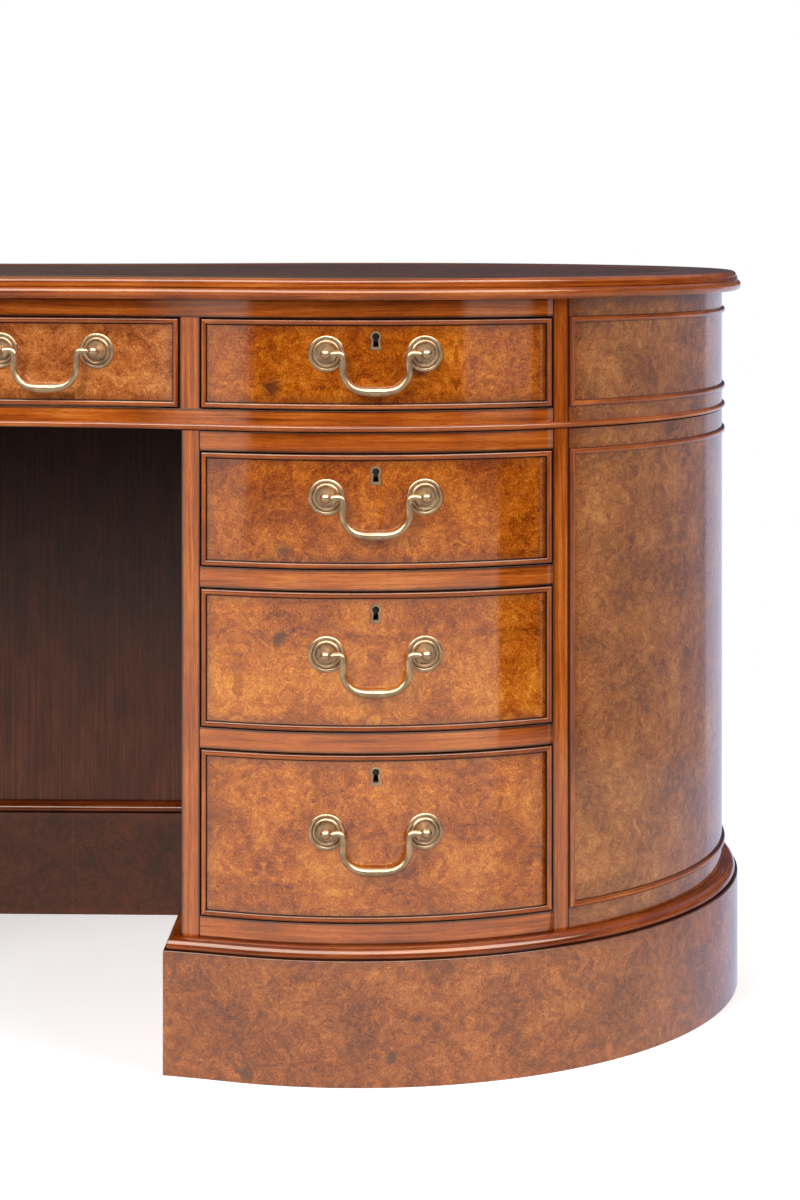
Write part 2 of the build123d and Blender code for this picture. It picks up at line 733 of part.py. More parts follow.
def build_drawer(x0, x1, z0, height, depth, handle_z, kind):
    """Every piece of one drawer: wood, brass, bolt and bails."""
    left = x0 + drawer_gap
    right = x1 - drawer_gap
    low = z0 + drawer_gap
    high = z0 + height - drawer_gap
    board, beads = build_drawer_front(left, right, low, high)
    box = build_drawer_box(left, right, low, high, depth)
    if kind == "centre":
        lock_frame = hollow_face_frame(0)
        middle = degrees(asin((right - handle_end_distance) / hollow_radius))
        turns = (-middle, middle)
        handles = [build_handle(hollow_face_frame, t, hollow_post_turn(), hollow_ball_y(), handle_z) for t in turns]
    else:
        middle = drawer_middle_angle()
        lock_frame = end_face_frame(middle)
        handles = [build_handle(end_face_frame, middle, end_post_turn(), end_ball_y(), handle_z)]
    plate, case, bolt, lock_cuts = build_lock(high)
    brass = [lock_frame * plate, lock_frame * case]
    bails = []
    cuts = [lock_frame * cut for cut in lock_cuts]
    for pommels, bail, bores in handles:
        brass += pommels
        bails.append(bail)
        cuts += bores
    for cut in cuts:
        board = board - cut
    beads[0] = beads[0] - lock_frame * lock_cuts[-1]
    return [board] + beads, box, brass, lock_frame * bolt, bails


def write(name, pieces):
    """Write one named sub-part, its pieces as separate solids."""
    solids = []
    for piece in pieces:
        solids += piece.solids()
    export_step(Compound(children=solids, label=name), f"parts/{name}.step")
    print(name, len(solids), "solids")


def handle_height(z0, height, above_middle):
    """Height of a handle's posts above the floor."""
    return z0 + height / 2 + above_middle


def main():
    """Build every sub-part and write it."""
    write("top_board", [build_top()])
    write("frieze_face_frame", build_frieze_face_frame())
    write("frieze_shell", build_frieze_shell())
    write("frieze_runner_frames", build_frieze_runner_frames())
    write("bead_mouldings", build_bead_mouldings())
    write("plinths", build_plinths())
    write("modesty_panel", [build_modesty_panel()])
    for name, build in (
        ("pedestal_face_frames", build_pedestal_face_frame),
        ("pedestal_shells", build_pedestal_shell),
        ("pedestal_runner_frames", build_pedestal_runner_frames),
    ):
        pieces = build()
        write(name, pieces + [mirrored(piece) for piece in pieces])

    side_drawers = (
        ("frieze", frieze_drawer_z, frieze_drawer_height, frieze_handle_rise),
        ("upper", upper_drawer_z, upper_drawer_height, upper_handle_rise),
        ("middle", middle_drawer_z, middle_drawer_height, middle_handle_rise),
        ("bottom", bottom_drawer_z, bottom_drawer_height, bottom_handle_rise),
    )
    for name, z0, height, rise in side_drawers:
        handle_z = handle_height(z0, height, rise)
        front, box, brass, bolt, bails = build_drawer(
            drawer_left, drawer_right, z0, height, drawer_depth, handle_z, "side"
        )
        for node, pieces in (
            ("drawer_front", front),
            ("drawer_box", box),
            ("drawer_brass", brass),
            ("drawer_bolt", [bolt]),
            ("bail", bails),
        ):
            write(f"right_{name}_{node}", pieces)
            write(f"left_{name}_{node}", [mirrored(piece) for piece in pieces])

    handle_z = handle_height(frieze_drawer_z, frieze_drawer_height, frieze_handle_rise)
    front, box, brass, bolt, bails = build_drawer(
        -centre_opening_half,
        centre_opening_half,
        frieze_drawer_z,
        frieze_drawer_height,
        centre_drawer_depth,
        handle_z,
        "centre",
    )
    write("centre_drawer_front", front)
    write("centre_drawer_box", box)
    write("centre_drawer_brass", brass)
    write("centre_drawer_bolt", [bolt])
    write("centre_left_bail", [bails[0]])
    write("centre_right_bail", [bails[1]])


main()
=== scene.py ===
"""Kidney pedestal desk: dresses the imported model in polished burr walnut, aged brass and leather."""

import logging
import math
from dataclasses import dataclass
from enum import Enum
from functools import reduce
from typing import Any, Callable, Iterable, Sequence

import bmesh
import bpy
from mathutils import Matrix, Vector


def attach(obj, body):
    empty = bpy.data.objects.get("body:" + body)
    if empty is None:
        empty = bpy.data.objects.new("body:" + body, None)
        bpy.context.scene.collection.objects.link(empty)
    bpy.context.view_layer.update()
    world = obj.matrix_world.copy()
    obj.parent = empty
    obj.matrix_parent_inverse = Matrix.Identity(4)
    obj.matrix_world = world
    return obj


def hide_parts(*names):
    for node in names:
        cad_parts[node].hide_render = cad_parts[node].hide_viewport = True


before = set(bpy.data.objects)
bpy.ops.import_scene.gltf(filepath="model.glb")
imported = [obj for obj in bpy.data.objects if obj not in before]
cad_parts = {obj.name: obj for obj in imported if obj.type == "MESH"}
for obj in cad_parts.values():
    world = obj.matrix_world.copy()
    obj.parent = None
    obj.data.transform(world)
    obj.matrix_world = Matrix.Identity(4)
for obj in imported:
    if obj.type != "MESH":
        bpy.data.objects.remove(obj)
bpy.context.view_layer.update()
log = logging.getLogger("kidney_desk")

Pair = tuple[float, float]
Place = tuple[float, float, float]
Tint = tuple[float, float, float]
Tints = tuple[Tint, ...]
Rims = tuple[Pair, Pair]
Outline = Sequence[Pair]
Seats = Sequence[tuple[Place, Place]]
OnSurface = Callable[[float, float, float], Place]
Socket = bpy.types.NodeSocket
Node = bpy.types.Node
Tree = bpy.types.NodeTree
Material = bpy.types.Material
Object = bpy.types.Object

FLOAT, VECTOR = "NodeSocketFloat", "NodeSocketVector"
GEOMETRY, OBJECT, MATERIAL = "NodeSocketGeometry", "NodeSocketObject", "NodeSocketMaterial"
WHITE = (1.0, 1.0, 1.0, 1.0)


# Colours are written as they show on a screen, from 0 to 255, and turned into scene-linear values.
def shade(red: float, green: float, blue: float) -> tuple[float, float, float, float]:
    """Scene-linear colour of a screen colour.

    Args:
        red: Red from 0 to 255.
        green: Green from 0 to 255.
        blue: Blue from 0 to 255.

    Returns:
        Red, green, blue and alpha in scene-linear values.
    """
    parts = []
    for value in (red / 255, green / 255, blue / 255):
        parts.append(value / 12.92 if value <= 0.04045 else ((value + 0.055) / 1.055) ** 2.4)
    return (parts[0], parts[1], parts[2], 1.0)


class Side(Enum):
    """Half of the desk that a piece belongs to, with its sign along X."""

    RIGHT = 1
    LEFT = -1

    @property
    def word(self) -> str:
        """Name of the half, as body names use it."""
        return self.name.lower()


class Grain(Enum):
    """Way that grain runs: along the grain map, or by the object's own axes, upright or front to back."""

    MAPPED = (0, 1, 2)
    UPRIGHT = (2, 0, 1)
    DEEP = (1, 0, 2)


# ---- Node wiring


class Wiring:
    """Adds and joins the nodes of one shader or geometry tree."""

    def __init__(self, tree: Tree) -> None:
        """Keep the tree that nodes are added to."""
        self.tree = tree

    def feed(self, socket: Socket, value: Any) -> None:
        """Join a socket to another, or set its plain value.

        Args:
            socket: Input socket.
            value: Output socket, or a plain value.
        """
        if isinstance(value, Socket):
            self.tree.links.new(value, socket)
        else:
            socket.default_value = value

    def put(self, node: Node, **values: Any) -> None:
        """Feed a node's inputs by name, their spaces written as underscores."""
        for name, value in values.items():
            self.feed(node.inputs[name.replace("_", " ")], value)

    def node(self, kind: str, fed: dict[Any, Any] | None = None, **settings: Any) -> Node:
        """Add a node.

        Args:
            kind: Blender's identifier of the node.
            fed: Socket or value of each input, by name or number.
            **settings: Properties to set on it.

        Returns:
            The new node.
        """
        made = self.tree.nodes.new(kind)
        for name, value in settings.items():
            setattr(made, name, value)
        for key, value in (fed or {}).items():
            self.feed(made.inputs[key], value)
        return made

    def math(self, operation: str, *values: Any, clamp: bool = False) -> Socket:
        """Result of a Math node, kept from 0 to 1 where it is clamped."""
        made = self.node("ShaderNodeMath", dict(enumerate(values)), operation=operation, use_clamp=clamp)
        return made.outputs[0]

    def times(self, first: Any, second: Any) -> Socket:
        """Product of two values."""
        return self.math("MULTIPLY", first, second)

    def plus(self, first: Any, second: Any) -> Socket:
        """Sum of two values."""
        return self.math("ADD", first, second)

    def weighed(self, *terms: tuple[Any, float]) -> Socket:
        """Sum of values, each times its weight."""
        return reduce(self.plus, (self.times(*term) for term in terms))

    def vector(self, operation: str, first: Any, second: Any) -> Socket:
        """Vector result of a Vector Math node."""
        return self.node("ShaderNodeVectorMath", {0: first, 1: second}, operation=operation).outputs[0]

    def scaled(self, vector: Any, factor: Any) -> Socket:
        """Vector times a number."""
        return self.node("ShaderNodeVectorMath", {0: vector, "Scale": factor}, operation="SCALE").outputs[0]

    def stretch(self, vector: Any, x: float, y: float, z: float) -> Socket:
        """Place with each axis multiplied."""
        return self.vector("MULTIPLY", vector, (x, y, z))

    def moved(self, vector: Any, by: Any, reach: float) -> Socket:
        """Place moved by a share of another vector."""
        return self.vector("ADD", vector, self.stretch(by, reach, reach, reach))

    def parts(self, vector: Any) -> Any:
        """Outputs for the three parts of a vector."""
        return self.node("ShaderNodeSeparateXYZ", {0: vector}).outputs

    def joined(self, x: Any, y: Any, z: Any) -> Socket:
        """Vector of three parts."""
        return self.node("ShaderNodeCombineXYZ", {0: x, 1: y, 2: z}).outputs[0]

    def uv(self, name: str) -> Socket:
        """Place on a UV map."""
        return self.node("ShaderNodeUVMap", uv_map=name).outputs[0]

    def own_place(self) -> Socket:
        """Place in the object's own space."""
        return self.node("ShaderNodeTexCoord").outputs["Object"]

    def span(self, value: Any, low: Any, high: Any, start: float = 0.0, end: float = 1.0) -> Socket:
        """Smooth step of a value, from start where it is low to end where it is high."""
        fed = dict(enumerate((value, low, high, start, end)))
        return self.node("ShaderNodeMapRange", fed, interpolation_type="SMOOTHSTEP").outputs[0]

    def mix(self, factor: Any, first: Any, second: Any, blend: str = "MIX") -> Socket:
        """Colour mixed from two, where the factor is the share of the second."""
        fed = {0: factor, 6: first, 7: second}
        return self.node("ShaderNodeMix", fed, data_type="RGBA", blend_type=blend).outputs[2]

    def layered(self, colour: Any, mask: Any, share: float, tint: Tint, blend: str = "MIX") -> Socket:
        """Colour with a tint laid over it where a mask says so."""
        return self.mix(self.times(mask, share), colour, shade(*tint), blend)

    def ramp(self, factor: Any, tints: Tints, at: Sequence[float] = ()) -> Socket:
        """Colour read from a ramp.

        Args:
            factor: Socket that is read.
            tints: Screen colours.
            at: Their positions, where they aren't even.

        Returns:
            The output socket.
        """
        made = self.node("ShaderNodeValToRGB", {0: factor})
        band = made.color_ramp.elements
        while len(band) < len(tints):
            band.new(0.5)
        for i, (element, tint) in enumerate(zip(band, tints)):
            element.position = at[i] if at else i / (len(tints) - 1)
            element.color = shade(*tint)
        return made.outputs[0]

    def noise(
        self, place: Any, scale: float, detail: float = 3.0, roughness: float = 0.5, twist: float = 0.0
    ) -> Socket:
        """Value of a noise texture, its scale in waves in a metre."""
        fed = {"Vector": place, "Scale": scale, "Detail": detail, "Roughness": roughness, "Distortion": twist}
        return self.node("ShaderNodeTexNoise", fed).outputs[0]

    def cells(self, place: Any, scale: float, **settings: Any) -> Any:
        """Outputs of a Voronoi texture."""
        return self.node("ShaderNodeTexVoronoi", {"Vector": place, "Scale": scale}, **settings).outputs

    def group(self, tree: Tree, **values: Any) -> Any:
        """Outputs of a shader group whose inputs are fed by name, their spaces written as underscores."""
        fed = {name.replace("_", " "): value for name, value in values.items()}
        return self.node("ShaderNodeGroup", fed, node_tree=tree).outputs


def new_tree(
    name: str, kind: str, inputs: Sequence[tuple[str, str, Any]], outputs: Sequence[tuple[str, str]]
) -> tuple[Wiring, Any, Node]:
    """Start a node group.

    Args:
        name: Name of the group.
        kind: Blender's identifier of its kind.
        inputs: Name, socket type and default of each input.
        outputs: Name and socket type of each output.

    Returns:
        The wiring, the group's inputs and its output node.
    """
    tree = bpy.data.node_groups.new(name, kind)
    for label, socket_type, default in inputs:
        socket = tree.interface.new_socket(label, in_out="INPUT", socket_type=socket_type)
        if default is not None:
            socket.default_value = default
    for label, socket_type in outputs:
        tree.interface.new_socket(label, in_out="OUTPUT", socket_type=socket_type)
    wiring = Wiring(tree)
    return wiring, wiring.node("NodeGroupInput").outputs, wiring.node("NodeGroupOutput")


# ---- Effects that more than one finish uses


class Effects:
    """Shader groups shared by the finishes."""

    def __init__(self) -> None:
        """Build each group once."""
        self.burr = self.build_burr()
        self.grain = self.build_grain()
        self.rim = self.build_rim()
        self.handling = self.build_handling()

    @staticmethod
    def start(name: str, numbers: dict[str, float], *outputs: str) -> tuple[Wiring, Any, Node]:
        """Start a shader group that takes a place and numbers, and puts out numbers."""
        inputs = [("Place", VECTOR, None)] + [(label, FLOAT, default) for label, default in numbers.items()]
        return new_tree(name, "ShaderNodeTree", inputs, [(label, FLOAT) for label in outputs])

    @classmethod
    def build_burr(cls) -> Tree:
        """Burr figure: clouds, eddies, fine fibres and dark pips on a book-matched veneer.

        Returns:
            The group, which puts out a tone, masks of knots, pips and leaf seams, and a height.
        """
        outputs = ("Tone", "Knots", "Pips", "Seam", "Height")
        w, given, out = cls.start("burr_figure", {"Leaf Width": 0.066}, *outputs)
        place, width = given["Place"], given["Leaf Width"]
        x, y, z = w.parts(place)
        folded = w.math("PINGPONG", x, width)
        leaf = w.math("FLOOR", w.math("DIVIDE", x, width))
        seam = w.span(w.math("MINIMUM", folded, w.math("SUBTRACT", width, folded)), 0.0, 0.0007, 1.0, 0.0)
        matched = w.joined(folded, y, z)
        lean = {"Vector": w.vector("ADD", matched, place), "Scale": 11.0, "Detail": 3.0}
        drift = w.node("ShaderNodeTexNoise", lean).outputs[1]
        warped = w.moved(matched, w.vector("SUBTRACT", drift, (0.5, 0.5, 0.5)), 0.036)
        clouds = w.noise(warped, 15.0, 4.0, 0.55, 0.5)
        mottle = w.noise(warped, 98.0, 6.0, 0.68, 0.8)
        fibre = w.noise(w.stretch(warped, 1.0, 1.7, 1.0), 420.0, 4.0, 0.75, 2.0)
        fleck = w.noise(w.stretch(warped, 3.0, 1.0, 1.0), 520.0, 3.0, 0.7, 1.0)
        tone = w.weighed((clouds, 0.5), (mottle, 0.65), (fibre, 0.95), (fleck, 0.6))
        tone = w.math("MULTIPLY_ADD", tone, 2.3, -2.6, clamp=True)
        tone = w.plus(tone, w.times(w.math("PINGPONG", leaf, 1.0), 0.03))
        near = w.span(w.cells(w.moved(warped, drift, 0.01), 46.0)["Distance"], 0.03, 0.085, 1.0, 0.0)
        pips = w.times(near, w.span(w.noise(matched, 17.0, 2.0), 0.54, 0.66))
        cells = w.cells(w.moved(place, drift, 0.05), 8.0, voronoi_dimensions="2D")
        core = w.span(w.plus(cells["Distance"], w.times(mottle, 0.12)), 0.09, 0.16, 1.0, 0.0)
        knots = w.times(core, w.math("GREATER_THAN", w.parts(cells["Color"])[0], 0.82))
        height = w.weighed((mottle, 0.5), (pips, -0.8))
        w.put(out, Tone=tone, Knots=knots, Pips=pips, Seam=seam, Height=height)
        return w.tree

    @classmethod
    def build_grain(cls) -> Tree:
        """Straight grain along the first axis of a place, with pores and slow bands.

        Returns:
            The group, which puts out a tone, a mask of pores and a height.
        """
        w, given, out = cls.start("long_grain", {"Band Scale": 1.0}, "Tone", "Pores", "Height")
        place = w.scaled(given["Place"], given["Band Scale"])
        bend = w.noise(w.stretch(place, 3.0, 12.0, 12.0), 1.0, 2.0)
        bent = w.vector("ADD", place, w.stretch(bend, 0.0, 0.012, 0.012))
        bands = w.noise(w.stretch(bent, 4.0, 280.0, 280.0), 1.0, 4.0, 0.6, 0.4)
        silk = w.noise(w.stretch(bent, 26.0, 900.0, 900.0), 1.0, 3.0, 0.6)
        pores = w.span(w.noise(w.stretch(bent, 95.0, 1500.0, 1500.0), 1.0, 2.0, 0.5), 0.57, 0.66)
        patches = w.noise(w.stretch(place, 9.0, 22.0, 22.0), 1.0, 3.0)
        tone = w.weighed((bands, 0.62), (silk, 0.3), (patches, 0.45))
        tone = w.math("MULTIPLY_ADD", tone, 2.5, -1.2, clamp=True)
        w.put(out, Tone=tone, Pores=pores, Height=w.math("SUBTRACT", w.times(silk, 0.6), pores))
        return w.tree

    @classmethod
    def build_rim(cls) -> Tree:
        """Old polish gathered along the rim of a panel, with a painted shadow of the gap at its very edge,
        read from its two rim maps.

        Returns:
            The group, which puts out a narrow line, partly a dark joint and partly painted shadow of the gap,
            and a wide darker band of old polish.
        """
        widths = {"Line Width": 0.0012, "Shade Width": 0.012}
        w, given, out = cls.start("rim_polish", widths, "Line", "Shade")
        low, high = (w.math("MINIMUM", *w.parts(w.uv(name))[:2]) for name in ("rim_low", "rim_high"))
        near = w.math("MINIMUM", low, high)
        ragged = w.noise(given["Place"], 55.0, 3.0)
        worn = w.math("SUBTRACT", near, w.times(w.math("SUBTRACT", ragged, 0.5), 0.004))
        wide = w.span(worn, 0.0, given["Shade Width"], 1.0, 0.0)
        # Narrow line: a dark joint with painted shadow of the gap at the rim.
        line = w.span(near, 0.0, given["Line Width"], 1.0, 0.0)
        w.put(out, Line=line, Shade=w.times(wide, w.span(ragged, 0.25, 0.7, 0.45, 1.0)))
        return w.tree

    @classmethod
    def build_handling(cls) -> Tree:
        """Marks of use: small dark dents, slow blotches in the polish and a faint ripple.

        Returns:
            The group, which puts out dents, blotches, a roughness change and a height.
        """
        w, given, out = cls.start("handling_marks", {}, "Dents", "Blotches", "Dullness", "Height")
        place = given["Place"]
        cells = w.cells(w.moved(place, w.noise(place, 120.0, 2.0), 0.006), 21.0)
        chosen = w.math("GREATER_THAN", w.parts(cells["Color"])[0], 0.6)
        dents = w.times(w.span(cells["Distance"], 0.012, 0.04, 1.0, 0.0), chosen)
        blotches = w.span(w.noise(place, 7.0, 4.0, 0.6, 0.5), 0.38, 0.7)
        dullness = w.times(w.noise(place, 33.0, 4.0, 0.65), 0.12)
        height = w.weighed((dents, -1.0), (w.noise(place, 9.0, 2.0), 1.4))
        w.put(out, Dents=dents, Blotches=blotches, Dullness=dullness, Height=height)
        return w.tree


# ---- Finishes


def start_material(name: str) -> tuple[Material, Wiring, Node]:
    """Start a material with one Principled shader.

    Args:
        name: Name of the material.

    Returns:
        The material, its wiring and its shader.
    """
    material = bpy.data.materials.new(name)
    material.use_nodes = True
    return material, Wiring(material.node_tree), material.node_tree.nodes["Principled BSDF"]


def dress(w: Wiring, shader: Node, colour: Any, roughness: Any, height: Any, depth: float) -> None:
    """Give a shader its colour and roughness, and a relief of a depth in metres."""
    bump = w.node("ShaderNodeBump", {"Height": height, "Distance": depth})
    w.put(shader, Base_Color=colour, Roughness=roughness, Normal=bump.outputs[0])


@dataclass(frozen=True)
class Polish:
    """Lacquer over wood."""

    roughness: float = 0.38
    coat: float = 1.0
    coat_roughness: float = 0.05
    coat_ior: float = 1.82
    specular: float = 0.06
    relief: float = 0.00012

    def lay(self, w: Wiring, shader: Node, colour: Any, marks: Any, height: Any) -> None:
        """Set the polish, with its marks of use, over a wood's colour and height."""
        rough = w.plus(marks["Dullness"], self.roughness)
        dress(w, shader, colour, rough, w.plus(marks["Height"], height), self.relief)
        w.put(shader, Coat_Weight=self.coat, Coat_Roughness=self.coat_roughness)
        w.put(shader, Coat_IOR=self.coat_ior, Specular_IOR_Level=self.specular)


@dataclass(frozen=True)
class BurrWalnut:
    """Book-matched burr veneer under a gloss polish."""

    name: str
    tints: Tints
    leaf_width: float = 0.066
    polish: Polish = Polish()

    def material(self, effects: Effects) -> Material:
        """Build the material.

        Args:
            effects: Shared shader groups.

        Returns:
            The material.
        """
        material, w, shader = start_material(self.name)
        place = w.uv("grain")
        figure = w.group(effects.burr, Place=place, Leaf_Width=self.leaf_width)
        marks = w.group(effects.handling, Place=place)
        rim = w.group(effects.rim, Place=place)
        colour = w.ramp(figure["Tone"], self.tints)
        colour = w.layered(colour, marks["Blotches"], 0.3, (150, 70, 24), "MULTIPLY")
        colour = w.layered(colour, figure["Seam"], 0.1, (200, 130, 60))
        colour = w.layered(colour, figure["Knots"], 0.7, (66, 34, 26))
        colour = w.layered(colour, figure["Pips"], 0.8, (70, 26, 10))
        colour = w.layered(colour, marks["Dents"], 0.75, (44, 20, 14))
        colour = w.layered(colour, rim["Shade"], 0.55, (112, 52, 26))
        # Rim line: dark joint with painted shadow of the gap beside the bead.
        colour = w.layered(colour, rim["Line"], 0.9, (34, 12, 8))
        self.polish.lay(w, shader, colour, marks, w.times(figure["Height"], 0.12))
        return material


@dataclass(frozen=True)
class StraightWalnut:
    """Straight-grained wood, its grain along the grain map or along one of the object's axes."""

    name: str
    tints: Tints
    run: Grain = Grain.MAPPED
    band_scale: float = 1.0
    pore_colour: Tint = (70, 28, 12)
    polish: Polish = Polish()
    # Width of the rim line, a dark joint with painted shadow of the gap; none where zero.
    line_width: float = 0.0
    # Heights over which painted shade darkens the wood towards its top, under the desk's top.
    dark_above: Pair | None = None
    at: tuple[float, ...] = (0.0, 0.35, 0.65, 1.0)

    def material(self, effects: Effects) -> Material:
        """Build the material.

        Args:
            effects: Shared shader groups.

        Returns:
            The material.
        """
        material, w, shader = start_material(self.name)
        place = w.uv("grain")
        if self.run is not Grain.MAPPED:
            axes = w.parts(w.own_place())
            place = w.joined(*(axes[k] for k in self.run.value))
        grain = w.group(effects.grain, Place=place, Band_Scale=self.band_scale)
        marks = w.group(effects.handling, Place=place)
        colour = w.ramp(grain["Tone"], self.tints, self.at)
        colour = w.layered(colour, grain["Pores"], 0.45, self.pore_colour)
        colour = w.layered(colour, marks["Blotches"], 0.2, (160, 84, 44), "MULTIPLY")
        colour = w.layered(colour, marks["Dents"], 0.7, (50, 22, 14))
        if self.line_width:
            rim = w.group(effects.rim, Place=w.uv("grain"), Line_Width=self.line_width, Shade_Width=0.004)
            colour = w.layered(colour, rim["Shade"], 0.45, (96, 42, 18))
            # Rim line: dark joint with painted shadow of the gap beside beads and under the waist bead.
            colour = w.layered(colour, rim["Line"], 0.9, (34, 12, 6))
        # Painted shade: darker towards the top, where the desk's top shades the panel.
        if self.dark_above:
            upper = w.span(w.parts(w.own_place())[2], *self.dark_above, 0.0, 0.85)
            colour = w.mix(upper, colour, shade(18, 5, 2))
        self.polish.lay(w, shader, colour, marks, w.times(grain["Height"], 0.3))
        return material


@dataclass(frozen=True)
class AgedBrass:
    """Brass with a rubbed, slightly tarnished skin."""

    name: str
    bright: Tint = (226, 199, 168)
    dull: Tint = (140, 114, 94)
    roughness: float = 0.31

    def material(self, effects: Effects) -> Material:
        """Build the material.

        Args:
            effects: Shared shader groups.

        Returns:
            The material.
        """
        material, w, shader = start_material(self.name)
        place = w.own_place()
        marks = w.group(effects.handling, Place=w.stretch(place, 5.0, 5.0, 5.0))
        tarnish = w.span(w.noise(place, 90.0, 5.0, 0.65, 0.4), 0.38, 0.66)
        deep = w.span(w.node("ShaderNodeNewGeometry").outputs["Pointiness"], 0.44, 0.5, 1.0, 0.0)
        worn = w.math("ADD", w.times(tarnish, 0.5), w.times(deep, 0.9), clamp=True)
        colour = w.mix(worn, shade(*self.bright), shade(*self.dull))
        colour = w.layered(colour, marks["Dents"], 0.5, (82, 58, 40))
        roughness = w.plus(w.times(worn, 0.2), self.roughness)
        dress(w, shader, colour, roughness, w.plus(w.noise(place, 420.0, 3.0), marks["Dents"]), 0.00006)
        shader.inputs["Metallic"].default_value = 1.0
        return material


@dataclass(frozen=True)
class LockSteel:
    """Dull drawn steel of the lock bolts."""

    name: str = "lock_steel"
    colour: Tint = (128, 124, 120)

    def material(self, effects: Effects) -> Material:
        """Build the material.

        Args:
            effects: Shared shader groups.

        Returns:
            The material.
        """
        material, w, shader = start_material(self.name)
        place = w.own_place()
        drawn = w.noise(w.stretch(place, 1500.0, 1500.0, 60.0), 1.0, 3.0)
        marks = w.group(effects.handling, Place=place)
        colour = w.mix(drawn, shade(*self.colour), shade(86, 82, 80))
        colour = w.mix(marks["Blotches"], colour, shade(96, 84, 72))
        dress(w, shader, colour, w.plus(w.times(drawn, 0.2), 0.32), drawn, 0.00004)
        shader.inputs["Metallic"].default_value = 1.0
        return material


@dataclass(frozen=True)
class DeskLeather:
    """Dark polished hide of the writing surface."""

    name: str = "desk_leather"
    colour: Tint = (62, 36, 34)

    def material(self, effects: Effects) -> Material:
        """Build the material.

        Args:
            effects: Shared shader groups.

        Returns:
            The material.
        """
        material, w, shader = start_material(self.name)
        place = w.own_place()
        pebble = w.cells(w.moved(place, w.noise(place, 300.0, 2.0), 0.002), 620.0, feature="DISTANCE_TO_EDGE")
        crease = w.span(pebble["Distance"], 0.0, 0.16)
        wear = w.span(w.noise(place, 5.0, 5.0, 0.6, 0.8), 0.35, 0.75)
        colour = w.mix(wear, shade(*self.colour), shade(92, 58, 50))
        colour = w.layered(colour, w.math("SUBTRACT", 1.0, crease), 0.5, (26, 14, 14))
        roughness = w.plus(w.times(w.noise(place, 40.0, 3.0), 0.2), 0.3)
        dress(w, shader, colour, roughness, crease, 0.0002)
        shader.inputs["Specular IOR Level"].default_value = 0.4
        return material


# ---- Mesh drafting


def arc(centre: Pair, radius: float, start: float, end: float, steps: int) -> list[Pair]:
    """Points along an arc from one angle in degrees to another, both ends included."""
    angles = [math.radians(start + (end - start) * i / steps) for i in range(steps + 1)]
    return [(centre[0] + radius * math.cos(a), centre[1] + radius * math.sin(a)) for a in angles]


def spread(start: float, end: float, step: float) -> list[float]:
    """Even values from start to end, no further apart than step."""
    count = max(1, math.ceil(abs(end - start) / step))
    return [start + (end - start) * i / count for i in range(count + 1)]


def circle(sides: int) -> list[Pair]:
    """Cosine and sine of even steps round a circle."""
    angles = [2 * math.pi * k / sides for k in range(sides)]
    return [(math.cos(angle), math.sin(angle)) for angle in angles]


def linked(name: str, data: bpy.types.ID) -> Object:
    """Make an object and link it to the scene.

    Args:
        name: Name of the object.
        data: Its mesh, curve, lamp or lens.

    Returns:
        The object.
    """
    made = bpy.data.objects.new(name, data)
    bpy.context.scene.collection.objects.link(made)
    return made


def evaluated_mesh(source: Object) -> bpy.types.Mesh:
    """Mesh of an object with its modifiers applied.

    Args:
        source: The object.

    Returns:
        A new mesh.
    """
    bpy.context.view_layer.update()
    graph = bpy.context.evaluated_depsgraph_get()
    return bpy.data.meshes.new_from_object(source.evaluated_get(graph), depsgraph=graph)


